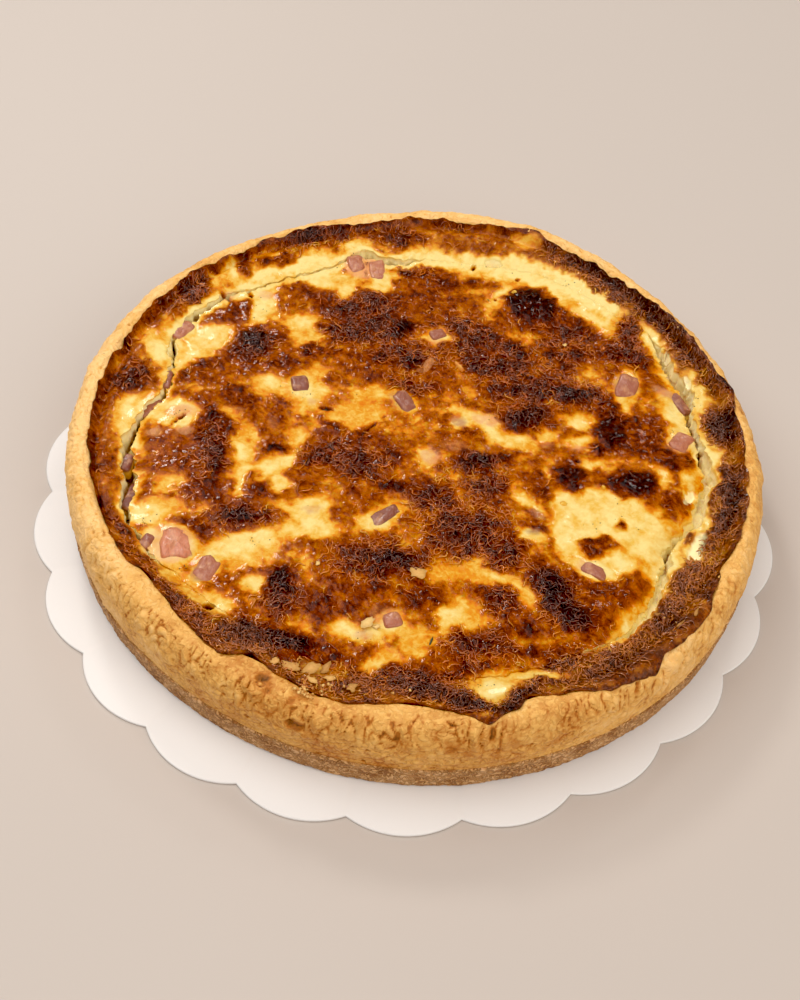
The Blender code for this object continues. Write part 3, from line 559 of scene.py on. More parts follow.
def mesh_piece(name, points, faces, surface, attributes=None, smooth=True, sharp_beyond=None):
    """A new object from an array of points in metres and groups of faces, each an array with one face
    a row or a list of longer faces. Attributes are numbers for each point."""
    mesh = bpy.data.meshes.new(name)
    groups = faces if isinstance(faces, list) else [faces]
    corner_counts = np.concatenate([np.full(len(group), group.shape[1]) for group in groups])
    corners = np.concatenate([group.ravel() for group in groups])
    mesh.vertices.add(len(points))
    mesh.vertices.foreach_set("co", np.ascontiguousarray(points, np.float32).ravel())
    mesh.loops.add(len(corners))
    mesh.loops.foreach_set("vertex_index", corners.astype(np.int32))
    mesh.polygons.add(len(corner_counts))
    starts = np.concatenate([[0], np.cumsum(corner_counts)[:-1]])
    mesh.polygons.foreach_set("loop_start", starts.astype(np.int32))
    mesh.polygons.foreach_set("use_smooth", np.full(len(corner_counts), smooth))
    for label, values in (attributes or {}).items():
        layer = mesh.attributes.new(label, "FLOAT", "POINT")
        layer.data.foreach_set("value", np.ascontiguousarray(values, np.float32).ravel())
    mesh.update(calc_edges=True)
    mesh.validate()
    if sharp_beyond:
        mesh.set_sharp_from_angle(angle=math.radians(sharp_beyond))
    mesh.materials.append(surface)
    made = bpy.data.objects.new(name, mesh)
    bpy.context.scene.collection.objects.link(made)
    return made


def finish_piece(piece, slot, *nodes):
    """The piece rides on the body and stands for its CAD nodes, which are hidden. The slot is not used."""
    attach(piece, "root")
    if nodes:
        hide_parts(*nodes)


# Shapes of crust and custard --------------------------------------------------------------------


def crest_height(angle):
    """Height of the crust's crest: its mean height with slow waves."""
    return ROLL_CENTRE_HEIGHT + ROLL_RISE + waves(angle, CREST_WAVES)


def crest_radius(angle):
    """Radius of the crust's crest."""
    return ROLL_CENTRE_RADIUS + waves(angle, OUTLINE_WAVES)


def lip_radius(angle):
    """Where the crust meets the custard: a wavy circle, pushed inwards by a bell curve at each thick place."""
    degrees = np.degrees(angle) % 360
    inward = sum(depth * np.exp(-(((degrees - middle) / spread) ** 2)) for middle, spread, depth in THICK_PLACES)
    return LIP_RADIUS + 0.6 * waves(angle, OUTLINE_WAVES) - inward


def crust_top(angle, radius):
    """Height of the crust's upper side: a quarter ellipse outside the crest, and a parabola inside it."""
    outside = np.clip((radius - crest_radius(angle)) / ROLL_REACH, 0, 0.999)
    inside = np.clip((crest_radius(angle) - radius) / (crest_radius(angle) - lip_radius(angle)), 0, 2)
    return crest_height(angle) - ROLL_RISE * (1 - np.sqrt(1 - outside**2)) - LIP_DROP * inside**2


def crack_at(angle):
    """The crack's middle radius, half its width, and its depth, each roughened by noise."""
    place = (114 * np.cos(angle), 114 * np.sin(angle))
    width = round_table(angle, CRACK, 2) * (1 + 0.40 * noise(place, 4, 21) + 0.20 * noise(place, 1.7, 24))
    radius = round_table(angle, CRACK, 1) + 0.9 * noise(place, 5, 22) + 0.5 * noise(place, 2.0, 23)
    return radius, np.maximum(width / 2, 0.25), round_table(angle, CRACK, 3)


def swell(x, y):
    """Slow rises and dips of the custard's surface: three products of sines."""
    return (
        0.5 * np.sin(x / 17 + 0.8) * np.cos(y / 21)
        + 0.4 * np.sin((x + y) / 13 + 2.2)
        + 0.3 * np.cos((x - 2 * y) / 19)
    )


def custard_relief(x, y, level):
    """Small forms of the custard's skin: raised burnt spots, lumps and blisters where it is browned, and
    pale places that lie a little lower and stay smooth."""
    browned = eased_step(0.15, 0.55, level)
    burnt = eased_step(0.72, 0.98, level)
    matted = browned * (1 - 0.65 * burnt)
    lumps = 0.30 * layered_noise((x, y), 4.2, 3, 57, 0.7)
    blisters = 0.25 * spread_of_domes(x, y, 5.0, 5) + 0.28 * spread_of_domes(x, y, 2.4, 9)
    dips = 0.30 * layered_noise((x, y), 9, 2, 61)
    flakes = np.abs(noise((x, y), 2.6, 63)) + 0.5 * np.abs(noise((x, y), 1.4, 64))
    flaky = dryness(x, y) * eased_step(0.45, 0.65, level) * (flakes - 0.3)
    return 0.35 * browned + 1.1 * burnt + (lumps + blisters) * (0.10 + 0.90 * matted) + 1.3 * flaky + dips - 0.6


def tears(x, y):
    """Depth, painted shade and painted slit shade of the lesser tears at a place: steep-sided and flat inside,
    with noise along their edges. Rows with a shade over 1 are slits painted in the burnt colour, as painted shade."""
    depth, shade, painted_slit_shade = np.zeros(np.shape(x)), np.zeros(np.shape(x)), np.zeros(np.shape(x))
    rough = 0.5 * noise((x, y), 2.4, 151) + 0.25 * noise((x, y), 1.1, 152)
    for row in TEARS:
        inside = eased_step(0.5, -0.7, bump(x, y, row[:5]) + rough)
        depth = np.maximum(depth, row[5] * inside)
        if row[6] > 1:
            painted_slit_shade = np.maximum(painted_slit_shade, inside)
        else:
            shade = np.maximum(shade, row[6] * inside)
    return depth, shade, painted_slit_shade


def custard_top(x, y, level):
    """Height of the custard's top: a sunken middle and a raised ring that meets the crust's lip. The step
    between them is as wide as the crack, or a gentle slope where the crack is shut."""
    angle, radius = np.arctan2(y, x), np.hypot(x, y)
    crack_radius, half_width, depth = crack_at(angle)
    shut = eased_step(0.9, 0.45, round_table(angle, CRACK, 2) / 2)
    half_step = half_width + (7 - half_width) * shut
    side = radius - crack_radius
    sag = round_table(angle, SAGGING, 1) * eased_step(-8, 0, side + half_width) * (1 - shut)
    middle = MIDDLE_HEIGHT + swell(x, y) - sag * (side < 0)
    lip = lip_radius(angle)
    edge_height = crust_top(angle, lip)
    share = np.clip((radius - crack_radius) / (lip - crack_radius), 0, 1)
    lip_height = MIDDLE_HEIGHT + round_table(angle, RING_RISE, 1)
    ring = lip_height + (edge_height - lip_height) * share**1.5 + swell(x, y) * (1 - share)
    ring = ring - 0.9 * shut * np.exp(-((side / 2.6) ** 2)) * (1 + 0.6 * noise((x, y), 3, 155))
    step = eased_step(-half_step, half_step, side)
    surface = middle + (ring - middle) * step + custard_relief(x, y, level) - tears(x, y)[0]
    near_ham, bank = round_ham(x, y)
    surface = surface + np.clip(bank - surface, 0, 2) * near_ham
    on_crust = eased_step(-7, 0.5, radius - lip)
    skin = crust_top(angle, radius) + 0.45 + 0.35 * (custard_relief(x, y, level) + 0.2)
    return np.minimum(surface + (skin - surface) * on_crust, CREST_LIMIT)


def disc_places(count, outline):
    """Places of a square grid bent into a disc. A grid place (a, b) from -1 to 1 goes to the radius
    max(|a|, |b|), and to an angle in proportion along its side of the square."""
    a, b = np.meshgrid(np.linspace(-1, 1, count), np.linspace(-1, 1, count), indexing="ij")
    wide = np.abs(a) >= np.abs(b)
    with np.errstate(divide="ignore", invalid="ignore"):
        turn = np.where(wide, math.pi / 4 * b / a, math.pi / 2 - math.pi / 4 * a / b)
    turn = np.nan_to_num(turn)
    reach = np.where(wide, a, b)
    angle = turn + np.where(reach < 0, math.pi, 0)
    radius = np.abs(reach) * outline(angle)
    return radius * np.cos(angle), radius * np.sin(angle)


def seam_radius(angle):
    """A wavy circle inside the crack, along which the custard's two pieces meet."""
    return SEAM_RADIUS + 2.5 * np.sin(7 * angle + 1) + 1.5 * np.sin(16 * angle)


# Stage --------------------------------------------------------------------------------------

CAMERA_PLACE = (0.0, -0.4151, 0.5071)
CAMERA_ANGLES = (0.37, 50.5, 4.30)  # swing, pitch below the horizon, and roll
CAMERA_LENS = 57.53
# Name, place in metres, size in metres, power in watts and colour
STUDIO_LIGHTS = (
    ("overhead light", (-0.75, 0.15, 1.6), 1.9, 19.0, (1.0, 0.97, 0.94)),
    ("front light", (1.15, -1.15, 1.4), 2.0, 21.0, (1.0, 0.93, 0.85)),
    ("window light", (-0.55, 1.15, 1.15), 0.28, 5.8, (1.0, 0.98, 0.95)),
    ("far window light", (0.35, 1.20, 1.15), 0.18, 1.4, (1.0, 0.98, 0.95)),
)


# Materials ------------------------------------------------------------------------------------


def linear(colour):
    """Display colour values as linear light, by the standard curve's formula."""
    return tuple(c / 12.92 if c <= 0.04045 else ((c + 0.055) / 1.055) ** 2.4 for c in colour)


class Nodes:
    """Adds and links the nodes of one material."""

    def __init__(self, name):
        self.material = bpy.data.materials.new(name)
        self.material.use_nodes = True
        self.tree = self.material.node_tree
        self.shader = self.tree.nodes["Principled BSDF"]
        self.place = self.add("ShaderNodeTexCoord").outputs["Object"]

    def add(self, kind, settings=None, **inputs):
        node = self.tree.nodes.new(kind)
        for label, value in (settings or {}).items():
            setattr(node, label, value)
        for label, value in inputs.items():
            self.put(node.inputs[label.replace("_", " ")], value)
        return node

    def put(self, socket, value):
        if isinstance(value, bpy.types.NodeSocket):
            self.tree.links.new(value, socket)
        elif isinstance(value, tuple) and len(value) == 3 and socket.type == "RGBA":
            socket.default_value = (*linear(value), 1.0)
        else:
            socket.default_value = value

    def attribute(self, label):
        return self.add("ShaderNodeAttribute", {"attribute_name": label}).outputs["Fac"]

    def noise(self, size, detail=3.0, roughness=0.55, distortion=0.0, place=None):
        """Noise whose cells are that many millimetres across, from 0 to 1."""
        node = self.add(
            "ShaderNodeTexNoise",
            Vector=place or self.place,
            Scale=1 / (size * MM),
            Detail=detail,
            Roughness=roughness,
            Distortion=distortion,
        )
        return node.outputs["Fac"]

    def threads(self, size, distortion, offset=(0.0, 0.0, 0.0)):
        """Curly threads, 1 along a thread: the narrow band where twisted noise is near its middle value."""
        shifted = self.add("ShaderNodeMapping", Vector=self.place, Location=offset).outputs["Vector"]
        waves = self.noise(size, 1.0, 0.4, distortion, place=shifted)
        return self.remap(self.math("ABSOLUTE", self.math("SUBTRACT", waves, 0.5)), 0.075, 0.0)

    def puffs(self, size, distortion=0.0, place=None):
        """Rounded puffs with narrow creases: the size of twisted noise about its middle value."""
        waves = self.noise(size, 2.0, 0.45, distortion, place=place)
        return self.remap(self.math("ABSOLUTE", self.math("SUBTRACT", waves, 0.5)), 0.0, 0.16)

    def cells(self, size, feature="F1", output="Distance", place=None):
        """Distance within random cells that many millimetres across."""
        settings = {"feature": feature}
        node = self.add("ShaderNodeTexVoronoi", settings, Vector=place or self.place, Scale=1 / (size * MM))
        return node.outputs[output]

    def stretched(self, factors):
        """The place, with each axis multiplied."""
        return self.add("ShaderNodeMapping", Vector=self.place, Scale=factors).outputs["Vector"]

    def math(self, operation, first, second=0.0, clamp=False):
        node = self.add("ShaderNodeMath", {"operation": operation, "use_clamp": clamp})
        self.put(node.inputs[0], first)
        self.put(node.inputs[1], second)
        return node.outputs[0]

    def remap(self, value, low, high, to_low=0.0, to_high=1.0):
        node = self.add("ShaderNodeMapRange", {"interpolation_type": "SMOOTHSTEP"}, Value=value)
        for label, number in zip(("From Min", "From Max", "To Min", "To Max"), (low, high, to_low, to_high)):
            self.put(node.inputs[label], number)
        return node.outputs["Result"]

    def mix(self, factor, first, second, blend="MIX"):
        node = self.add("ShaderNodeMix", {"data_type": "RGBA", "blend_type": blend})
        self.put(node.inputs["Factor"], factor)
        self.put(node.inputs["A"] if False else node.inputs[6], first)
        self.put(node.inputs[7], second)
        return node.outputs[2]

    def ramp(self, value, stops):
        """Colour ramp with a stop for each pair of a level and a display colour."""
        node = self.add("ShaderNodeValToRGB", Fac=value)
        elements = node.color_ramp.elements
        while len(elements) < len(stops):
            elements.new(0.5)
        for element, (level, colour) in zip(elements, stops):
            element.position = level
            element.color = (*linear(colour), 1.0)
        return node.outputs["Color"]

    def bump(self, height, depth, normal=None):
        """Bump of that many millimetres."""
        node = self.add("ShaderNodeBump", Height=height, Distance=depth * MM, Strength=1.0)
        if normal:
            self.put(node.inputs["Normal"], normal)
        return node.outputs["Normal"]

    def surface(self, **inputs):
        for label, value in inputs.items():
            self.put(self.shader.inputs[label.replace("_", " ")], value)
        return self.material


def custard_material(settings):
    """Custard and its skin: a colour for each browning level, matted threads where it is browned, and pale
    walls down in the crack and in the tears, painted darker towards their bottoms as painted shade."""
    nodes = Nodes("browned custard")
    level = nodes.attribute("browning")
    depth = nodes.attribute("crack_wall_and_shade")
    threads = nodes.threads(1.7, 2.2)
    finer = nodes.threads(0.9, 3.0, offset=(0.03, 0.01, 0.0))
    browned = nodes.remap(level, 0.22, 0.60)
    grain = nodes.math("SUBTRACT", nodes.noise(2.2, 4.0, 0.6, 0.8), 0.5)
    lighter = nodes.math("MULTIPLY", nodes.math("ADD", threads, nodes.math("MULTIPLY", finer, 0.6)), -0.13)
    lighter = nodes.math("MULTIPLY", lighter, browned)
    mottled = nodes.math("ADD", level, nodes.math("MULTIPLY", grain, nodes.remap(level, 0.0, 0.4, 0.18, 0.85)))
    mottled = nodes.math("ADD", mottled, lighter, clamp=True)
    skin = nodes.ramp(mottled, browning_colours(settings))
    dry = nodes.math("MULTIPLY", nodes.attribute("dry"), nodes.remap(nodes.noise(4, 3.0), 0.35, 0.6, 0.5, 1.0))
    skin = nodes.mix(dry, skin, nodes.ramp(mottled, dry_colours(settings)))
    ham = nodes.mix(nodes.attribute("stain_tone"), (0.89, 0.63, 0.45), (0.50, 0.30, 0.26))
    stain = nodes.math("MULTIPLY", nodes.attribute("stain"), nodes.remap(nodes.noise(2.5, 3.0), 0.3, 0.6, 0.6, 1.1))
    skin = nodes.mix(nodes.math("MULTIPLY", stain, nodes.remap(level, 0.3, 0.75, 1.0, 0.35)), skin, ham)
    wall_noise = nodes.math("MULTIPLY", nodes.math("SUBTRACT", nodes.noise(1.8, 3.0), 0.5), 1.3)
    wall_painted_shade = nodes.math("MULTIPLY", nodes.math("ADD", depth, wall_noise), 0.5, clamp=True)
    # Wall colour: cream at the lips, darkening to near black further down, as painted shade in the crack and the tears.
    wall = nodes.ramp(wall_painted_shade, (
        (0.0, (1.00, 0.93, 0.68)), (0.30, (1.00, 0.94, 0.74)), (0.55, (0.86, 0.67, 0.46)), (0.80, (0.20, 0.11, 0.07)),
    ))
    colour = nodes.mix(nodes.remap(depth, 0.02, 0.22), skin, wall)
    height = nodes.math("ADD", threads, nodes.math("MULTIPLY", finer, 0.5))
    height = nodes.math("MULTIPLY", height, browned)
    height = nodes.math("ADD", height, nodes.math("MULTIPLY", nodes.noise(1.2, 3.0), 0.35))
    gloss = nodes.math("MULTIPLY", nodes.noise(2.4, 2.0), 0.25)
    roughness = nodes.math("ADD", nodes.remap(level, 0.1, 0.6, 0.42, 0.24), gloss)
    return nodes.surface(
        Base_Color=colour,
        Roughness=roughness,
        Normal=nodes.bump(height, 0.45),
        Specular_IOR_Level=0.18,
        Subsurface_Weight=0.10,
        Subsurface_Radius=(0.004, 0.0025, 0.001),
        Subsurface_Scale=1.0,
        Coat_Weight=0.24,
        Coat_Roughness=0.08,
    )


def shred_material(settings):
    """Glossy threads in the skin's own browning colours."""
    nodes = Nodes("melted cheese threads")
    level = nodes.attribute("browning")
    grain = nodes.math("MULTIPLY", nodes.math("SUBTRACT", nodes.noise(1.2, 2.0), 0.5), 0.22)
    mottled = nodes.math("ADD", level, grain, clamp=True)
    dry = nodes.ramp(mottled, dry_colours(settings))
    shade = nodes.mix(nodes.attribute("dry"), nodes.ramp(mottled, browning_colours(settings)), dry)
    return nodes.surface(
        Base_Color=shade,
        Roughness=nodes.remap(nodes.noise(3.0), 0.3, 0.7, 0.20, 0.42),
        Specular_IOR_Level=0.5,
        Coat_Weight=0.5,
        Coat_Roughness=0.12,
    )


def dry_colours(settings):
    """Stops of the dry skin's ramp: its browns are duller and less red."""
    return browning_colours(settings)[:2] + (
        (0.21, (0.850, 0.600, 0.220)),
        (0.34, (0.790, 0.500, 0.190)),
        (0.50, (0.720, 0.415, 0.170)),
        (0.64, (0.590, 0.335, 0.185)),
        (0.80, (0.440, 0.245, 0.155)),
        (1.0, (0.240, 0.130, 0.090)),
    )


def browning_colours(settings):
    """Stops of the browning ramp, from the settings' colours."""
    return (
        (0.0, tuple(settings.pale_colour)),
        (0.11, tuple(settings.cream_colour)),
        (0.21, tuple(settings.yellow_colour)),
        (0.34, tuple(settings.golden_colour)),
        (0.50, tuple(settings.amber_colour)),
        (0.64, tuple(settings.brown_colour)),
        (0.80, tuple(settings.dark_colour)),
        (1.0, tuple(settings.burnt_colour)),
    )


def pastry_material(settings, name, colour, dark_colour, crinkle):
    """Baked pastry: a tone for each place, worm-like crinkles whose creases are painted darker and puffs lighter,
    as painted shade and light, and fine flour grain.
    """
    nodes = Nodes(name)
    tone = nodes.attribute("browning")
    worms = nodes.puffs(1.9, 0.8) if crinkle > 0.8 else nodes.puffs(2.6, 0.4)
    flour = nodes.noise(0.7, 3.0, 0.7)
    patch = nodes.noise(9, 3.0, 0.6)
    # Painted shade and light: the crinkles' creases are painted darker and their puffs lighter.
    level = nodes.math("ADD", tone, nodes.math("MULTIPLY", nodes.math("SUBTRACT", worms, 0.5), -0.30 * crinkle))
    level = nodes.math("ADD", level, nodes.math("MULTIPLY", nodes.math("SUBTRACT", patch, 0.5), 0.30))
    level = nodes.math("ADD", level, nodes.math("MULTIPLY", nodes.math("SUBTRACT", flour, 0.5), 0.12), clamp=True)
    lighter = tuple(0.85 * c + 0.20 for c in colour)
    deep = tuple(c * 0.55 for c in dark_colour)
    shade = nodes.ramp(level, ((0.0, lighter), (0.28, colour), (0.62, dark_colour), (1.0, deep)))
    height = nodes.math("ADD", worms, nodes.math("MULTIPLY", flour, 0.35))
    return nodes.surface(
        Base_Color=shade,
        Roughness=nodes.remap(flour, 0.2, 0.8, 0.48, 0.66),
        Normal=nodes.bump(height, 0.5 * crinkle),
        Specular_IOR_Level=0.3,
        Subsurface_Weight=0.05,
        Subsurface_Radius=(0.003, 0.002, 0.001),
        Subsurface_Scale=1.0,
    )


def crumb_material(settings):
    """Broken pastry: cream to toasted, with a dry grain."""
    nodes = Nodes("pastry crumbs")
    grain = nodes.math("MULTIPLY", nodes.math("SUBTRACT", nodes.noise(1.0, 3.0, 0.6), 0.5), 0.5)
    level = nodes.math("ADD", nodes.attribute("browning"), grain, clamp=True)
    shade = nodes.ramp(level, ((0.0, (0.93, 0.78, 0.50)), (0.4, (0.85, 0.64, 0.36)), (1.0, (0.50, 0.28, 0.10))))
    return nodes.surface(Base_Color=shade, Roughness=0.55, Normal=nodes.bump(grain, 0.3), Specular_IOR_Level=0.3)


def plain_material(name, dark_colour, light_colour):
    """Small dry bits that differ in tone."""
    nodes = Nodes(name)
    shade = nodes.mix(nodes.attribute("browning"), dark_colour, light_colour)
    return nodes.surface(Base_Color=shade, Roughness=nodes.remap(nodes.noise(0.6), 0.3, 0.7, 0.4, 0.6))


def card_material(settings):
    """Smooth white coated board with a faint fibre."""
    nodes = Nodes("white cake card")
    fibre = nodes.noise(0.8, 2.0)
    shade = nodes.mix(nodes.noise(60, 2.0), tuple(settings.card_colour), tuple(c * 0.985 for c in settings.card_colour))
    return nodes.surface(Base_Color=shade, Roughness=0.45, Normal=nodes.bump(fibre, 0.02), Specular_IOR_Level=0.4)


def ham_material(settings):
    """Cooked ham: pink to purple-grey from piece to piece, with fibres and paler fat."""
    nodes = Nodes("cooked ham")
    tone = nodes.attribute("tone")
    fibres = nodes.noise(1.4, 4.0, 0.6, 1.2, place=nodes.stretched((1.0, 0.35, 1.0)))
    blotches = nodes.noise(4, 2.0)
    pink, grey = tuple(settings.ham_colour), tuple(settings.ham_grey_colour)
    shade = nodes.mix(tone, pink, grey)
    shade = nodes.mix(nodes.remap(blotches, 0.48, 0.70, 0.0, 0.45), shade, (0.86, 0.64, 0.46))
    shade = nodes.mix(nodes.remap(fibres, 0.40, 0.70, 0.0, 0.4), shade, (0.55, 0.27, 0.19))
    film = nodes.ramp(nodes.attribute("browning"), browning_colours(settings))
    shade = nodes.mix(nodes.attribute("film"), shade, film)
    return nodes.surface(
        Base_Color=shade,
        Roughness=nodes.remap(fibres, 0.3, 0.7, 0.30, 0.48),
        Normal=nodes.bump(fibres, 0.3),
        Subsurface_Weight=0.15,
        Subsurface_Radius=(0.004, 0.002, 0.0015),
        Subsurface_Scale=1.0,
        Coat_Weight=0.3,
        Coat_Roughness=0.2,
    )


# Settings ---------------------------------------------------------------------------------------


def colour_setting(name, description, default):
    return bpy.props.FloatVectorProperty(
        name=name, description=description, default=default, size=3, min=0.0, max=1.0, subtype="COLOR_GAMMA"
    )


class QuicheSettings(bpy.types.PropertyGroup):
    """Sizes and colours of the quiche's looks."""

    pale_colour: colour_setting("Pale", "Custard that isn't browned", (0.932, 0.838, 0.540))
    cream_colour: colour_setting("Cream", "Custard that begins to colour", (0.900, 0.720, 0.318))
    yellow_colour: colour_setting("Yellow", "Edge of a pale place", (0.868, 0.592, 0.116))
    golden_colour: colour_setting("Golden", "Lightly browned skin", (0.850, 0.470, 0.040))
    amber_colour: colour_setting("Amber", "Browned skin", (0.750, 0.350, 0.015))
    brown_colour: colour_setting("Brown", "Well browned skin", (0.560, 0.215, 0.015))
    dark_colour: colour_setting("Dark", "Dark skin", (0.365, 0.125, 0.020))
    burnt_colour: colour_setting("Burnt", "Burnt spots", (0.145, 0.045, 0.020))
    pastry_colour: colour_setting("Pastry", "Rolled edge of the crust", (0.925, 0.705, 0.385))
    pastry_brown_colour: colour_setting("Pastry, browned", "Creases and baked places", (0.740, 0.450, 0.170))
    side_colour: colour_setting("Lower crust", "Band that the tin shaped", (0.860, 0.650, 0.420))
    side_brown_colour: colour_setting("Lower crust, browned", "Its darker places", (0.650, 0.430, 0.230))
    card_colour: colour_setting("Card", "Cake card", (0.930, 0.915, 0.905))
    ham_colour: colour_setting("Ham", "Pink ham", (0.820, 0.510, 0.360))
    ham_grey_colour: colour_setting("Ham, grey", "Ham that lies deep or is dried", (0.400, 0.200, 0.150))
    floor_colour: colour_setting("Floor", "Floor under the card", (0.790, 0.745, 0.710))
    disc_steps: bpy.props.IntProperty(
        name="Middle steps", description="Grid steps across the custard's middle", default=299, min=40, max=310
    )
    shreds: bpy.props.IntProperty(
        name="Shreds", description="Threads of melted cheese in each layer", default=4400, min=0, max=4500
    )
    crust_steps: bpy.props.IntProperty(
        name="Crust steps", description="Grid steps round the crust", default=1500, min=200, max=1600
    )


# Pieces ------------------------------------------------------------------------------------------


class QUICHE_OT_card(bpy.types.Operator):
    """Scalloped cake card under the quiche"""

    bl_idname = "quiche.card"
    bl_label = "Cake card"

    def execute(self, context):
        settings = context.scene.quiche
        x, y = scallop_outline(24)
        rows = []
        edge = ((0.0, 0.0), (0.996, 0.0), (0.9992, 0.12), (1.0, 0.5), (0.9992, 0.88), (0.996, 1.0), (0.0, 1.0))
        low, high = CARD_LOW[2], CARD_HIGH[2]
        for share, lift in edge:
            rows.append(np.stack([x * share, y * share, np.full(len(x), low + (high - low) * lift)], 1))
        points = np.concatenate(rows)
        faces = grid_quads(len(edge), len(x), wrap_columns=True)
        card = mesh_piece("card", points * MM, faces[:, ::1], card_material(settings))
        finish_piece(card, "card", "cake_card")
        return {"FINISHED"}


def scallop_outline(steps):
    """Points of the card's edge: one round arc bulging out between each pair of notches. The arc passes
    through both notches and the tip, so its radius is (half chord^2 + bulge^2) / (2 * bulge)."""
    half = math.pi / CARD_SCALLOPS
    half_chord = CARD_NOTCH_RADIUS * math.sin(half)
    bulge = CARD_RADIUS - CARD_NOTCH_RADIUS * math.cos(half)
    arc_radius = (half_chord**2 + bulge**2) / (2 * bulge)
    arc_half = math.asin(half_chord / arc_radius)
    scallop, step = np.meshgrid(np.arange(CARD_SCALLOPS), np.arange(steps), indexing="ij")
    facing = math.radians(CARD_TURN) + (2 * scallop + 1) * half
    swing = arc_half * (2 * step / steps - 1)
    along = CARD_RADIUS - arc_radius + arc_radius * np.cos(swing)
    across = arc_radius * np.sin(swing)
    x = along * np.cos(facing) - across * np.sin(facing)
    y = along * np.sin(facing) + across * np.cos(facing)
    return x.ravel(), y.ravel()


def crust_marks(x, y, z):
    """Dents and browned spots listed for the crust, as (depth, browning): ellipsoids with ragged edges."""
    depth, toast = np.zeros(np.shape(x)), np.zeros(np.shape(x))
    push = 0.35 * noise((x, y, z), 2.5, 103)
    for row in CRUST_MARKS:
        away = np.sqrt(((x - row[0]) / row[3]) ** 2 + ((y - row[1]) / row[4]) ** 2 + ((z - row[2]) / row[5]) ** 2)
        here = eased_step(1.2, 0.4, away + push)
        depth, toast = depth + row[6] * here, toast + row[7] * here
    return depth, toast


def pastry_relief(x, y, z, angle, up):
    """Small forms of the rolled crust, as (height in millimetres, painted crease shade from 0 to 1): folds that run
    down from the skin's edge, puffy wrinkles, blisters and slow unevenness. Puffs are the size of noise, and the
    narrow creases between them are where it passes zero. up is the distance down from the skin's edge."""
    degrees = np.degrees(angle) % 360
    sway = 1.2 * noise((x, y, z), 6, 91)
    ring_x, ring_y = 134 * np.cos(angle), 134 * np.sin(angle)
    folds = np.abs(noise((ring_x / 3.4 + 0.35 * sway, ring_y / 3.4 + 0.35 * sway, up / 11), 1.0, 92))
    left = eased_step(140, 175, degrees) * eased_step(352, 325, degrees)
    front = eased_step(212, 232, degrees) * eased_step(335, 312, degrees)
    patchy = eased_step(-0.4, 0.4, noise((x, y), 15, 93) + 0.2)
    near_edge = eased_step(-0.8, 1.5, up) * eased_step(16, 6, up + 4 * noise((x, y), 5, 90))
    fold_strength = near_edge * (0.15 + 0.20 * left + 0.75 * front * patchy)
    wrinkle_places = (x / 5.0 + 0.5 * sway, y / 5.0 + 0.5 * sway, z / 4.2 + 0.6 * sway)
    wrinkles = np.abs(noise(wrinkle_places, 1.0, 94))
    calmer = 1 - 0.7 * front * eased_step(14, 4, up)
    wrinkle_strength = (0.22 + 0.45 * left * (0.6 + 0.4 * noise((x, y), 20, 95))) * calmer
    small = np.abs(noise((x, y, z), 2.4, 96))
    slow = layered_noise((x, y, z), 15, 2, 97)
    lumps = noise((x, y, z), 6.5, 98)
    pits = eased_step(0.72, 0.9, noise((x, y, z), 2.3, 100))
    height = (
        1.9 * fold_strength * (folds - 0.3)
        + 1.7 * wrinkle_strength * (wrinkles - 0.3)
        + 0.12 * (small - 0.3)
        + 0.70 * slow
        + 0.35 * lumps
        - 0.5 * pits
        - crust_marks(x, y, z)[0]
    )
    # Painted shade: the second value darkens the pastry's tone along the narrow creases and in the pits.
    creases = 0.9 * fold_strength * eased_step(0.13, 0.0, folds)
    creases = creases + 0.8 * wrinkle_strength * eased_step(0.10, 0.0, wrinkles)
    return height, np.clip(creases + 0.1 * eased_step(0.10, 0.0, small) + 0.6 * pits, 0, 1.2)


def pastry_tone(x, y, z, creases):
    """Browning level of the pastry from 0 to 1: darker at the front and right and paler at the left, as painted
    light and shade by side; darker in creases and pits, as painted shade; and darker in baked patches."""
    patches = layered_noise((x, y, z), 16, 3, 111)
    fine = noise((x, y, z), 3.0, 112)
    front = eased_step(-85, -135, y + 0.1 * x)
    left, right = eased_step(-95, -135, x), eased_step(105, 138, x)
    toast = crust_marks(x, y, z)[1]
    # Painted light and shade by side: the left is painted paler and the front and right darker.
    side = 0.22 * front - 0.14 * left + 0.14 * right
    return np.clip(0.16 + side + 0.24 * patches + 0.06 * fine + 0.50 * creases + toast, 0, 1)


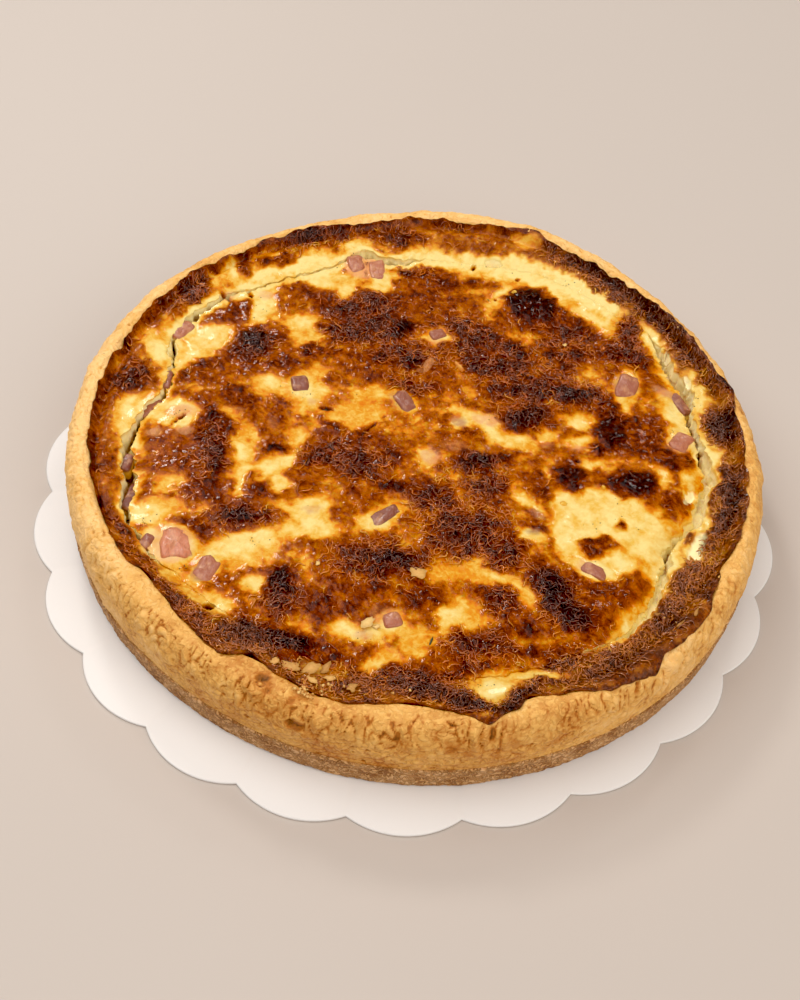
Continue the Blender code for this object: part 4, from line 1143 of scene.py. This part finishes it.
class QUICHE_OT_crust(bpy.types.Operator):
    """Rolled crust and the lower band that the tin shaped"""

    bl_idname = "quiche.crust"
    bl_label = "Crust"

    def execute(self, context):
        settings = context.scene.quiche
        angle = np.linspace(0, 2 * math.pi, settings.crust_steps, endpoint=False)[None, :]
        self.make_rim(settings, angle)
        self.make_side(settings, angle)
        return {"FINISHED"}

    def make_rim(self, settings, angle):
        """The section runs up the outside: radius = widest - 1.1 * s^2.2 below the widest height, then a
        quarter ellipse to the crest, a parabola to the lip, and down and back inside."""
        sway, crest, rise = waves(angle, OUTLINE_WAVES), crest_height(angle), waves(angle, CREST_WAVES)
        widest = ROLL_CENTRE_RADIUS + ROLL_REACH + sway
        lower = np.linspace(1, 0, 20, endpoint=False)[:, None]
        radius = [widest - 1.1 * lower**2.2]
        height = [ROLL_CENTRE_HEIGHT + rise * 0.5 * (1 - lower) - (ROLL_CENTRE_HEIGHT - FOLD_HEIGHT) * lower]
        turn = np.linspace(0, math.pi / 2, 27, endpoint=False)[:, None]
        radius.append(widest - ROLL_REACH * (1 - np.cos(turn)))
        height.append(ROLL_CENTRE_HEIGHT + rise * 0.5 + (ROLL_RISE + rise * 0.5) * np.sin(turn))
        inward = np.linspace(0, 1, 7)[:, None]
        radius.append(crest_radius(angle) + (lip_radius(angle) - crest_radius(angle)) * inward)
        height.append(crest - LIP_DROP * inward**2)
        shown_rows = 54
        inner = np.array([(-0.9, -2.0), (-1.6, -6.0), (-2.0, -14.0), (3.0, -22.2), (7.5, -22.2)])
        radius.append(lip_radius(angle) + inner[:, :1])
        height.append(crest - LIP_DROP + inner[:, 1:])
        radius = np.vstack([row + 0 * angle for row in radius])
        height = np.vstack([row + 0 * angle for row in height])
        x, y = radius * np.cos(angle), radius * np.sin(angle)
        lengths = np.hypot(np.diff(radius, axis=0), np.diff(height, axis=0))
        travelled = np.vstack([np.zeros_like(angle), np.cumsum(lengths, 0)])
        edge = skin_edge(angle)
        outside_edge = np.clip((edge - crest_radius(angle)) / ROLL_REACH, -1, 0.99)
        edge_turn = np.arccos(1 - np.clip(1 - outside_edge, 0, 1))
        edge_length = travelled[20] + (travelled[47] - travelled[20]) * edge_turn / (math.pi / 2)
        up = edge_length - travelled
        relief, creases = pastry_relief(x, y, height, angle, up)
        fade = np.ones(len(radius))
        fade[:4] = (0.1, 0.3, 0.6, 0.85)
        fade[shown_rows:] = 0
        fade[shown_rows - 3 : shown_rows] = (0.8, 0.5, 0.3)
        out_radius, out_height = np.gradient(height, axis=0), -np.gradient(radius, axis=0)
        size = np.hypot(out_radius, out_height) + 1e-9
        push = (relief - 0.3) * fade[:, None]
        radius = radius + push * out_radius / size
        height = np.minimum(height + push * out_height / size, CREST_LIMIT)
        points = np.stack([radius * np.cos(angle), radius * np.sin(angle), height], -1)
        tone = pastry_tone(x, y, height, creases)
        faces = grid_quads(len(radius), settings.crust_steps, wrap_rows=True, wrap_columns=True)
        surface = pastry_material(
            settings, "golden pastry", tuple(settings.pastry_colour), tuple(settings.pastry_brown_colour), 0.45
        )
        rim = mesh_piece("crust_rim", to_world(points.reshape(-1, 3)), faces[:, ::1], surface, {"browning": tone})
        finish_piece(rim, "pastry", "crust")

    def make_side(self, settings, angle):
        """The section runs from the middle of the underside out, up the band's slope and back inside
        under the roll. The edges are rounded by short steps."""
        sway = waves(angle, OUTLINE_WAVES)
        inner = [(0.0, 0.0), (60.0, 0.0), (120.0, 0.0)]
        foot = [(BASE_RADIUS - 1.2, 0.0), (BASE_RADIUS - 0.5, 0.15), (BASE_RADIUS, 0.7)]
        share = np.linspace(0, 1, 20)[1:-1]
        band = [
            (BASE_RADIUS + (FOLD_RADIUS - BASE_RADIUS) * s, 0.7 + (FOLD_HEIGHT - 1.5) * s) for s in share
        ]
        step = [(FOLD_RADIUS, 11.9), (FOLD_RADIUS - 0.15, 12.3), (FOLD_RADIUS - 0.6, 12.6), (FOLD_RADIUS - 1.6, 12.8)]
        back = [(FOLD_RADIUS - 5, 12.8), (125.0, 12.0), (120.0, 5.0), (60.0, 4.5), (0.0, 4.5)]
        section = np.array(inner + foot + band + step + back)
        shown = np.zeros(len(section))
        shown[4 : 4 + 2 + len(band) + 2] = 1
        shown[3] = 0.4
        radius = section[:, :1] + sway * np.clip(section[:, :1] / BASE_RADIUS, 0, 1) ** 8
        height = section[:, 1:] + 0 * angle
        x, y = radius * np.cos(angle), radius * np.sin(angle)
        crinkles = 1 - 2 * np.abs(noise((x / 2.6, y / 2.6, height / 1.2), 1.0, 121))
        relief = 0.22 * crinkles + 0.35 * layered_noise((x, y, height), 9, 2, 122) + 0.12 * noise((x, y, height), 1.6, 123)
        radius = radius + (relief - 0.2) * shown[:, None]
        points = np.stack([radius * np.cos(angle), radius * np.sin(angle), height], -1)
        toasted = eased_step(3.0, 0.0, height) * (0.4 + 0.3 * noise((x, y), 7, 124))
        tone = np.clip(0.35 + 0.3 * layered_noise((x, y, height), 8, 3, 125) + 0.2 * toasted, 0, 1)
        faces = grid_quads(len(section), settings.crust_steps, wrap_columns=True)
        surface = pastry_material(
            settings, "tin-baked pastry", tuple(settings.side_colour), tuple(settings.side_brown_colour), 1.3
        )
        side = mesh_piece("crust_side", to_world(points.reshape(-1, 3)), faces, surface, {"browning": tone})
        finish_piece(side, "pastry", "crust")


class QUICHE_OT_custard(bpy.types.Operator):
    """Custard with its browned skin, in a middle piece and a ring piece"""

    bl_idname = "quiche.custard"
    bl_label = "Custard"

    def execute(self, context):
        settings = context.scene.quiche
        surface = custard_material(settings)
        self.make_middle(settings, surface)
        self.make_ring(settings, surface)
        return {"FINISHED"}

    def make_middle(self, settings, surface):
        count = settings.disc_steps + 1
        x, y = disc_places(count, seam_radius)
        level = browning(x, y)
        top = np.stack([x, y, custard_top(x, y, level)], -1).reshape(-1, 3)
        numbers = np.arange(count * count).reshape(count, count)
        border = np.concatenate([numbers[:-1, 0], numbers[-1, :-1], numbers[:0:-1, -1], numbers[0, :0:-1]])
        skirt = top[border].copy()
        skirt[:, 2] = CUSTARD_FLOOR + 1
        points = np.concatenate([top, skirt])
        under = len(top) + np.arange(len(border))
        following = np.roll(np.arange(len(border)), -1)
        wall = np.stack([border, under, under[following], border[following]], 1)
        faces = [grid_quads(count, count)[:, ::-1], wall, under[::-1][None, :]]
        painted_tear_shade, painted_slit_shade = tears(x, y)[1:]
        # Painted shade: slits are painted towards the burnt colour.
        level = level + (0.97 - level) * painted_slit_shade
        levels = np.concatenate([level.ravel(), np.zeros(len(border))])
        below = np.zeros(len(border))
        stain, stain_tone = ham_stains(x, y)
        flags = {
            "browning": levels,
            "crack_wall_and_shade": np.concatenate([painted_tear_shade.ravel(), below]),
            "stain": np.concatenate([stain.ravel(), below]),
            "stain_tone": np.concatenate([stain_tone.ravel(), below]),
            "dry": np.concatenate([dryness(x, y).ravel(), below]),
        }
        middle = mesh_piece("custard_middle", to_world(points), faces, surface, flags, sharp_beyond=75)
        finish_piece(middle, "custard", "custard")

    def make_ring(self, settings, surface):
        """The section at each angle runs out from the seam to the crack, down its inner wall, along its
        floor, up its outer wall, over the raised ring to the skin's edge, and back underneath."""
        count = 4 * settings.disc_steps
        angle = (np.arange(count) * 2 * math.pi / count - math.pi / 4)[None, :]
        crack_radius, half_width, depth = crack_at(angle)
        place = (114 * np.cos(angle), 114 * np.sin(angle))
        ragged = eased_step(0.5, 1.0, half_width)
        teeth_in = ragged * (0.7 * noise(place, 2.4, 131) + 0.4 * noise(place, 1.2, 136))
        teeth_out = ragged * (0.7 * noise(place, 2.6, 132) + 0.4 * noise(place, 1.2, 137))
        lip_in, lip_out = crack_radius - half_width + teeth_in, crack_radius + half_width + teeth_out
        edge = skin_edge(angle)
        shares = np.linspace(0, 1, 16)[:, None]
        inner_top = seam_radius(angle) + (lip_in - seam_radius(angle)) * shares
        shares = np.linspace(0, 1, 34)[:, None]
        outer_top = lip_out + (edge - lip_out) * shares
        radius = np.vstack([inner_top, outer_top])
        x, y = radius * np.cos(angle), radius * np.sin(angle)
        level = browning(x, y)
        height = custard_top(x, y, level)
        top_in, top_out = height[15], height[16]
        rubble = 1.3 * noise(place, 3.5, 133) + 0.7 * noise(place, 1.4, 138)
        floor = np.minimum(top_in, top_out) - depth[0] + rubble[0] * ragged[0]
        falls = np.linspace(0, 1, 9)[1:, None]
        lean = half_width * (0.35 + 0.35 * noise(place, 6, 139))
        roughness = np.clip(depth / 5, 0, 1) * np.sin(math.pi * falls)
        wall_noise_in = 1.3 * noise((place[0] + 0 * falls, place[1] + 0 * falls, 8 * falls), 1.9, 134)
        wall_noise_out = 1.3 * noise((place[0] + 0 * falls, place[1] + 0 * falls, 8 * falls), 1.9, 135)
        wall_in = lip_in + lean * falls**1.5 + 0.8 * roughness * wall_noise_in
        wall_out = lip_out - 1.3 * lean * falls + 0.8 * roughness * wall_noise_out
        in_height = top_in + (floor - top_in) * falls
        out_height = top_out + (floor - top_out) * falls
        middle = np.array([0.3, 0.7])[:, None]
        floor_radius = wall_in[-1] + (wall_out[-1] - wall_in[-1]) * middle
        floor_height = floor + 0 * middle
        crust_at_edge = crust_top(angle, edge)
        lip, crest = lip_radius(angle), crest_height(angle)
        under_radius = np.vstack([edge + 0.1, edge - 0.4, lip - 1.0, lip - 2.0, 119.5 + 0 * lip, seam_radius(angle)])
        under_height = np.vstack([
            crust_at_edge + 0.05, crust_at_edge - 0.5, crest - LIP_DROP - 2.5, crest - LIP_DROP - 8,
            CUSTARD_FLOOR + 1 + 0 * lip, CUSTARD_FLOOR + 1 + 0 * lip,
        ])
        radius = np.vstack([inner_top, wall_in, floor_radius, wall_out[::-1], outer_top, under_radius])
        height = np.vstack([height[:16], in_height, floor_height, out_height[::-1], height[16:], under_height])
        open_crack = eased_step(0.4, 0.8, half_width)
        painted_tear_shade, painted_slit_shade = tears(x, y)[1:]
        # Painted shade: slits are painted towards the burnt colour.
        level = level + (0.97 - level) * painted_slit_shade
        # Painted shade: the crack's walls and floor are painted darker the deeper the crack, and more where it is
        # narrow.
        gloom = open_crack * depth / 8 * (1 + 0.9 * eased_step(2.0, 0.8, half_width))
        deep = np.vstack([
            painted_tear_shade[:16], falls * gloom, gloom + 0 * floor_radius, falls[::-1] * gloom, painted_tear_shade[16:], 0 * under_radius,
        ])
        paler = 1 - open_crack * eased_step(0, 0.25, falls)
        wall_level_in = level[15] * paler + 0.08 * (1 - paler)
        wall_level_out = level[16] * paler + 0.08 * (1 - paler)
        level = np.vstack([
            level[:16], wall_level_in, (wall_level_in[-1:] + wall_level_out[-1:]) / 2 + 0 * floor_radius,
            wall_level_out[::-1], level[16:],
            level[-1:] + 0 * under_radius,
        ])
        points = np.stack([radius * np.cos(angle), radius * np.sin(angle), height], -1)
        faces = grid_quads(len(radius), count, wrap_rows=True, wrap_columns=True)[:, ::-1]
        ring_x, ring_y = radius * np.cos(angle), radius * np.sin(angle)
        stain, stain_tone = ham_stains(ring_x, ring_y)
        flags = {
            "browning": level, "crack_wall_and_shade": deep, "stain": stain, "stain_tone": stain_tone,
            "dry": dryness(ring_x, ring_y),
        }
        ring = mesh_piece("custard_ring", to_world(points.reshape(-1, 3)), faces, surface, flags, sharp_beyond=75)
        finish_piece(ring, "custard", "custard")


class QUICHE_OT_ham(bpy.types.Operator):
    """Ham dice in the custard"""

    bl_idname = "quiche.ham"
    bl_label = "Ham dice"

    def execute(self, context):
        settings = context.scene.quiche
        points, faces, tones, films, first = [], [], [], [], 0
        steps_up, steps_round = 25, 40
        for number, (length, width, height, turn, tilt, tone) in enumerate(HAM_DICE, start=1):
            low, high = FRAME_BOXES[f"ham_{number:02d}"]
            centre = (low + high) / 2
            shape = rounded_dice(length, width, height, number, steps_up, steps_round)
            shape = turned(shape, turn, 0.4 * tilt)
            points.append(shape + centre - (0, 0, HAM_SINK))
            films.append(eased_step(1.3, 3.0, shape[:, 2].max() - shape[:, 2] + 0.5 * noise(tuple(shape.T), 3, number)))
            faces.append(grid_quads(steps_up, steps_round, wrap_columns=True) + first)
            first += steps_up * steps_round
            tones.append(np.full(steps_up * steps_round, tone))
        points = np.concatenate(points)
        level = browning(points[:, 0] - QUICHE_X, points[:, 1] - QUICHE_Y)
        flags = {"tone": np.concatenate(tones), "film": np.concatenate(films), "browning": level}
        ham = mesh_piece("ham_dice", points * MM, np.concatenate(faces), ham_material(settings), flags)
        finish_piece(ham, "ham", *(f"ham_{number:02d}" for number in range(1, len(HAM_DICE) + 1)))
        return {"FINISHED"}


def rounded_dice(length, width, height, seed, steps_up, steps_round):
    """A block with soft edges: a superellipsoid, whose cosines and sines are raised to a power of 0.44, with
    noise on its surface."""
    up, around = np.meshgrid(
        np.linspace(-math.pi / 2, math.pi / 2, steps_up),
        np.linspace(0, 2 * math.pi, steps_round, endpoint=False),
        indexing="ij",
    )

    def soft(values, power=0.44):
        return np.sign(values) * np.abs(values) ** power

    x = soft(np.cos(up)) * soft(np.cos(around)) * length / 2
    y = soft(np.cos(up)) * soft(np.sin(around)) * width / 2
    z = soft(np.sin(up)) * height / 2
    uneven = 1 + 0.13 * noise((x + 31 * seed, y, z), 5, 141) + 0.05 * noise((x + 31 * seed, y, z), 1.8, 142)
    return np.stack([x * uneven, y * uneven, z * uneven], -1).reshape(-1, 3)


def turned(points, turn, tilt):
    """Points tilted about X and then turned about Z, in degrees."""
    tilt, turn = math.radians(tilt), math.radians(turn)
    x, y, z = points.T
    y, z = y * math.cos(tilt) - z * math.sin(tilt), y * math.sin(tilt) + z * math.cos(tilt)
    x, y = x * math.cos(turn) - y * math.sin(turn), x * math.sin(turn) + y * math.cos(turn)
    return np.stack([x, y, z], 1)


class QUICHE_OT_shreds(bpy.types.Operator):
    """Matted shreds of melted cheese on the browned skin"""

    bl_idname = "quiche.shreds"
    bl_label = "Melted shreds"

    def execute(self, context):
        settings = context.scene.quiche
        surface = shred_material(settings)
        layers = (
            ("shreds_lower", 0.15, 0, 6, (2.5, 6.0), (0.14, 0.32)),
            ("shreds_upper", 0.50, 0, 8, (3.5, 8.0), (0.18, 0.38)),
            ("shreds_ring", 0.60, 108, 6, (2.5, 6.0), (0.18, 0.38)),
        )
        for number, (name, lift, least_radius, steps, lengths, widths) in enumerate(layers):
            random = np.random.default_rng(211 + number)
            count = settings.shreds * 6 // steps
            points, faces, flags = strands(random, count, lift, least_radius, steps, lengths, widths)
            shreds = mesh_piece(name, to_world(points), faces, surface, flags)
            finish_piece(shreds, "custard")
        return {"FINISHED"}


def strands(random, count, lift, least_radius, steps, lengths, widths):
    """Curly threads that lie on the skin. A thread's heading is its first heading plus a curl times the
    distance along it, plus a sine wave. Its section is a diamond that narrows to both ends."""
    tries = count * 14
    radius = np.sqrt(least_radius**2 + (129**2 - least_radius**2) * random.random(tries))
    angle = 2 * math.pi * random.random(tries)
    x, y = radius * np.cos(angle), radius * np.sin(angle)
    browned = eased_step(0.45, 0.7, browning(x, y))
    chance = 0.05 * browned + 0.95 * np.maximum(shred_cover(x, y), browned * dryness(x, y))
    kept = np.flatnonzero(random.random(tries) < chance)[:count]
    x, y, count = x[kept], y[kept], len(kept)
    along = np.linspace(0, 1, steps)[None, :]
    length = random.uniform(*lengths, (count, 1))
    curl = random.normal(0, 0.22, (count, 1))
    sway = random.uniform(0.3, 1.1, (count, 1)) * np.sin(along * 7 + random.uniform(0, 6, (count, 1)))
    heading = random.uniform(0, 2 * math.pi, (count, 1)) + curl * length * along + sway
    path_x = x[:, None] + np.cumsum(np.cos(heading), 1) * length / steps
    path_y = y[:, None] + np.cumsum(np.sin(heading), 1) * length / steps
    level = browning(path_x, path_y)
    path_angle, path_radius = np.arctan2(path_y, path_x), np.hypot(path_x, path_y)
    crack_radius, half_width, depth = crack_at(path_angle)
    clear = np.all((np.abs(path_radius - crack_radius) > half_width + 0.6) | (half_width < 0.9), 1)
    clear &= np.all(path_radius < skin_edge(path_angle) - 0.3, 1) & (np.median(level, 1) > 0.36)
    arch = random.uniform(-0.3, 1.0, (count, 1)) * np.sin(math.pi * along)
    path_z = custard_top(path_x, path_y, level) + lift * (0.4 + arch)
    taper = np.sin(math.pi * np.clip(along, 0.03, 0.97)) ** 0.45
    half_wide = random.uniform(*widths, (count, 1)) * taper
    half_thick = 0.62 * half_wide
    side_x, side_y = -np.sin(heading), np.cos(heading)
    corners = ((1, 0), (0, 1), (-1, 0), (0, -1))
    rings = [
        np.stack([path_x + a * half_wide * side_x, path_y + a * half_wide * side_y, path_z + b * half_thick], -1)
        for a, b in corners
    ]
    points = np.stack(rings, 2)[clear]
    points[..., 2] = np.minimum(points[..., 2], CREST_LIMIT)
    shade = np.median(level, 1) + random.normal(-0.09, 0.09, count)
    level = np.repeat(np.clip(shade[clear], 0.2, 0.95), steps * 4)
    dry = np.maximum(dryness(x, y), random.uniform(0, 0.8, count))
    dry = np.repeat(dry[clear], steps * 4)
    count = int(clear.sum())
    tube = grid_quads(steps, 4, wrap_columns=True)
    tube = np.vstack([tube, [[3, 2, 1, 0]], [[4 * steps - 4, 4 * steps - 3, 4 * steps - 2, 4 * steps - 1]]])
    faces = (tube[None] + (np.arange(count) * steps * 4)[:, None, None]).reshape(-1, 4)
    return points.reshape(-1, 3), faces, {"browning": level, "dry": dry}


class QUICHE_OT_toppings(bpy.types.Operator):
    """Pastry flakes, crumbs, soft lumps, pepper and herb bits on the skin"""

    bl_idname = "quiche.toppings"
    bl_label = "Flakes, crumbs and pepper"

    def execute(self, context):
        settings = context.scene.quiche
        random = np.random.default_rng(431)
        pastry = crumb_material(settings)
        x, y, length, width, turn, lean, tone = np.array(FLAKES, float).T
        points, faces = flakes(x, y, length, width, turn, lean, random)
        self.finish("pastry_flakes", points, faces, pastry, "pastry", np.repeat(tone, 34))
        x, y = spread(CRUMB_PLACES, random)
        size = random.uniform(0.5, 1.5, len(x))
        points, faces = pebbles(x, y, size, size * 0.8, size * 0.6, 180 * random.random(len(x)), random, 0.1)
        self.finish("pastry_crumbs", points, faces, pastry, "pastry", np.repeat(random.uniform(0.0, 0.8, len(x)), 26))
        x, y = spread(PEPPER_SPOTS, random)
        size = random.uniform(0.25, 0.7, len(x))
        points, faces = pebbles(x, y, size, size * 0.6, size * 0.5, 180 * random.random(len(x)), random, 0.1)
        pepper = plain_material("ground pepper", (0.16, 0.10, 0.06), (0.30, 0.19, 0.10))
        self.finish("pepper", points, faces, pepper, "custard", np.repeat(random.random(len(x)), 26))
        x, y, length, turn = np.array(HERBS, float).T
        points, faces = pebbles(x, y, length, 0.9 + 0 * x, 0.5 + 0 * x, turn, random, 0.25)
        herb = plain_material("dried herb", (0.22, 0.21, 0.10), (0.36, 0.33, 0.15))
        self.finish("herbs", points, faces, herb, "custard", np.repeat(random.random(len(x)), 26))
        self.make_lumps(settings)
        return {"FINISHED"}

    def finish(self, name, points, faces, surface, slot, tone):
        points[:, 2] = np.minimum(points[:, 2], CREST_LIMIT)
        piece = mesh_piece(name, to_world(points), faces, surface, {"browning": tone})
        finish_piece(piece, slot)

    def make_lumps(self, settings):
        """Each lump is a low dome: height times (1 - r^2)^0.8, with a ragged outline from noise, closed by a
        flat underside inside the custard."""
        points, faces, tones, beige = [], [], [], []
        around = np.linspace(0, 2 * math.pi, 40, endpoint=False)[None, :]
        out = np.linspace(0.02, 1, 12)[:, None]
        for number, (x, y, length, width, height, turn, tone, share) in enumerate(LUMPS):
            ragged = 1 + 0.16 * noise((2 * np.cos(around) + 9 * number, 2 * np.sin(around)), 1.0, 181)
            a, b = out * ragged * np.cos(around) * length / 2, out * ragged * np.sin(around) * width / 2
            turn = math.radians(turn)
            place_x = x + a * math.cos(turn) - b * math.sin(turn)
            place_y = y + a * math.sin(turn) + b * math.cos(turn)
            level = browning(place_x, place_y)
            rise = height * (1 - out**2) ** 0.8 * (1 + 0.25 * noise((place_x, place_y), 2.2, 182)) - 0.35 * out**4
            top = np.stack([place_x, place_y, custard_top(place_x, place_y, level) + rise], -1)
            below = top[-1:] - (0, 0, 1.5)
            shape = np.concatenate([top, below]).reshape(-1, 3)
            first = sum(len(group) for group in points)
            points.append(shape)
            quads = grid_quads(13, 40, wrap_columns=True)
            faces.append(quads + first)
            caps = np.stack([np.arange(40)[::-1], 480 + np.arange(40)])
            faces.append(caps + first)
            tones.append(np.full(len(shape), tone))
            beige.append(np.full(len(shape), float(share)))
        flags = {"browning": np.concatenate(tones), "stain": np.concatenate(beige)}
        flags["crack_wall_and_shade"] = flags["stain_tone"] = flags["dry"] = 0 * flags["browning"]
        points = np.concatenate(points)
        points[:, 2] = np.minimum(points[:, 2], CREST_LIMIT)
        lumps = mesh_piece("custard_lumps", to_world(points), faces, custard_material(settings), flags)
        finish_piece(lumps, "custard")


def spread(rows, random):
    """Random places round each row's middle, as many as its last value, by a bell curve."""
    x = np.concatenate([row[0] + random.normal(0, row[2] / 4, row[4]) for row in rows])
    y = np.concatenate([row[1] + random.normal(0, row[3] / 4, row[4]) for row in rows])
    angle = np.arctan2(y, x)
    radius = np.minimum(np.hypot(x, y), skin_edge(angle) + 3)
    return radius * np.cos(angle), radius * np.sin(angle)


def laid_height(x, y):
    """Height of what shows at a place: the skin up to its edge, and the crust beyond it."""
    angle, radius = np.arctan2(y, x), np.hypot(x, y)
    return np.where(radius < skin_edge(angle), custard_top(x, y, browning(x, y)), crust_top(angle, radius))


def pebbles(x, y, length, width, height, turn, random, lift):
    """Small uneven lumps: spheres of 4 rings of 6 points and 2 poles, stretched, turned and roughened."""
    up = np.radians((-50, -15, 20, 55))[:, None]
    around = np.radians(60 * np.arange(6))[None, :]
    ring = np.stack([np.cos(up) * np.cos(around), np.cos(up) * np.sin(around), np.sin(up) + 0 * around], -1)
    ball = np.concatenate([ring.reshape(-1, 3), [(0, 0, -1), (0, 0, 1)]])
    points = ball[None] * random.uniform(0.75, 1.2, (len(x), 26, 1)) * np.stack([length, width, height], -1)[:, None] / 2
    cosine, sine = np.cos(np.radians(turn))[:, None], np.sin(np.radians(turn))[:, None]
    a, b = points[..., 0] * cosine - points[..., 1] * sine, points[..., 0] * sine + points[..., 1] * cosine
    base = laid_height(x, y) + lift * height
    points = np.stack([a + x[:, None], b + y[:, None], points[..., 2] + base[:, None]], -1)
    quads = grid_quads(4, 6, wrap_columns=True)
    one, two = np.arange(6), (np.arange(6) + 1) % 6
    poles = np.concatenate([
        np.stack([two, one, np.full(6, 24)], 1), np.stack([18 + one, 18 + two, np.full(6, 25)], 1),
    ])
    starts = (26 * np.arange(len(x)))[:, None, None]
    return points.reshape(-1, 3), [(quads + starts).reshape(-1, 4), (poles + starts).reshape(-1, 3)]


def flakes(x, y, length, width, turn, lean, random):
    """Thin curled plates with ragged outlines: 16 points round the top and the underside, and a middle
    point for each. A plate's height above its middle is its lean plus a bowl, curl * r^2."""
    around = np.linspace(0, 2 * math.pi, 16, endpoint=False)[None, :]
    ragged = random.uniform(0.66, 1.12, (len(x), 16)) * (1 + 0.12 * np.cos(4 * around + 0.6))
    a, b = ragged * np.cos(around) * length[:, None] / 2, ragged * np.sin(around) * width[:, None] / 2
    a, b = np.hstack([a, np.zeros((len(x), 1))]), np.hstack([b, np.zeros((len(x), 1))])
    curl = random.uniform(0.2, 0.8, (len(x), 1)) * (a / (length[:, None] / 2)) ** 2
    curl = curl + random.uniform(-0.12, 0.12, curl.shape)
    height = a * np.tan(np.radians(lean))[:, None] * 0.6 + curl
    cosine, sine = np.cos(np.radians(turn))[:, None], np.sin(np.radians(turn))[:, None]
    place_x, place_y = x[:, None] + a * cosine - b * sine, y[:, None] + a * sine + b * cosine
    lowest = (height - laid_height(place_x, place_y)).min(1, keepdims=True)
    top = height - lowest + 0.35
    sheets = [np.stack([place_x, place_y, level], -1) for level in (top, top - 0.25)]
    points = np.concatenate(sheets, 1)
    one, two = np.arange(16), (np.arange(16) + 1) % 16
    fans = np.concatenate([np.stack([one, two, np.full(16, 16)], 1), np.stack([17 + two, 17 + one, np.full(16, 33)], 1)])
    rim = np.stack([two, one, 17 + one, 17 + two], 1)
    starts = (34 * np.arange(len(x)))[:, None, None]
    return points.reshape(-1, 3), [(fans + starts).reshape(-1, 3), (rim + starts).reshape(-1, 4)]


class QUICHE_OT_stage(bpy.types.Operator):
    """Pale floor, soft light and the camera"""

    bl_idname = "quiche.stage"
    bl_label = "Stage"

    def execute(self, context):
        settings = context.scene.quiche
        scene = context.scene
        span = np.linspace(-2500, 2500, 3)
        x, y = np.meshgrid(span, span, indexing="ij")
        points = np.stack([x, y, np.full(x.shape, -0.05)], -1).reshape(-1, 3)
        nodes = Nodes("pale floor")
        shade = nodes.mix(nodes.noise(400, 2.0), tuple(settings.floor_colour), tuple(c * 0.97 for c in settings.floor_colour))
        surface = nodes.surface(Base_Color=shade, Roughness=0.5, Specular_IOR_Level=0.3)
        floor = mesh_piece("floor", points * MM, grid_quads(3, 3)[:, ::1], surface, smooth=False)
        world = bpy.data.worlds.new("studio")
        world.use_nodes = True
        background = world.node_tree.nodes["Background"]
        background.inputs["Color"].default_value = (1.0, 0.97, 0.93, 1.0)
        background.inputs["Strength"].default_value = 0.38
        scene.world = world
        for name, place, size, power, colour in STUDIO_LIGHTS:
            lamp = bpy.data.lights.new(name, "AREA")
            lamp.shape = "DISK"
            lamp.size = size
            lamp.energy = power
            lamp.color = colour
            made = bpy.data.objects.new(name, lamp)
            made.location = place
            made.rotation_euler = aim(place, (0.0, 0.0, 0.02))
            scene.collection.objects.link(made)
        lens = bpy.data.cameras.new("camera")
        lens.lens = CAMERA_LENS
        lens.sensor_width = 36
        lens.clip_start = 0.01
        camera = bpy.data.objects.new("camera", lens)
        camera.location = CAMERA_PLACE
        camera.rotation_euler = camera_turn()
        scene.collection.objects.link(camera)
        scene.camera = camera
        scene.view_settings.view_transform = "Standard"
        scene.view_settings.use_curve_mapping = True
        scene.view_settings.curve_mapping.black_level = (0.021, 0.0175, 0.015)
        return {"FINISHED"}


def aim(place, target):
    """Turn of a lamp at a place that shines at a target."""
    from mathutils import Vector

    return (Vector(target) - Vector(place)).to_track_quat("-Z", "Y").to_euler()


def camera_turn():
    """Turn of the camera: it looks down, and its picture is rolled and swung a little."""
    from mathutils import Matrix

    swing, pitch, roll = (math.radians(angle) for angle in CAMERA_ANGLES)
    turn = Matrix.Rotation(swing, 4, "Z") @ Matrix.Rotation(math.pi / 2 - pitch, 4, "X") @ Matrix.Rotation(roll, 4, "Z")
    return turn.to_euler()


class QUICHE_PT_panel(bpy.types.Panel):
    """Lists the pieces and their settings"""

    bl_label = "Baked ham quiche"
    bl_idname = "QUICHE_PT_panel"
    bl_space_type = "VIEW_3D"
    bl_region_type = "UI"
    bl_category = "Quiche"

    def draw(self, context):
        column = self.layout.column()
        for operator in OPERATORS:
            column.operator(operator.bl_idname)
        for name in QuicheSettings.__annotations__:
            column.prop(context.scene.quiche, name)


OPERATORS = (
    QUICHE_OT_card, QUICHE_OT_crust, QUICHE_OT_custard, QUICHE_OT_ham, QUICHE_OT_shreds, QUICHE_OT_toppings,
    QUICHE_OT_stage,
)


def register():
    bpy.utils.register_class(QuicheSettings)
    for operator in OPERATORS:
        bpy.utils.register_class(operator)
    bpy.utils.register_class(QUICHE_PT_panel)
    bpy.types.Scene.quiche = bpy.props.PointerProperty(type=QuicheSettings)


def unregister():
    del bpy.types.Scene.quiche
    bpy.utils.unregister_class(QUICHE_PT_panel)
    for operator in reversed(OPERATORS):
        bpy.utils.unregister_class(operator)
    bpy.utils.unregister_class(QuicheSettings)


def main():
    register()
    bpy.ops.quiche.card()
    bpy.ops.quiche.crust()
    bpy.ops.quiche.custard()
    bpy.ops.quiche.ham()
    bpy.ops.quiche.shreds()
    bpy.ops.quiche.toppings()
    bpy.ops.quiche.stage()


if __name__ == "__main__":
    main()
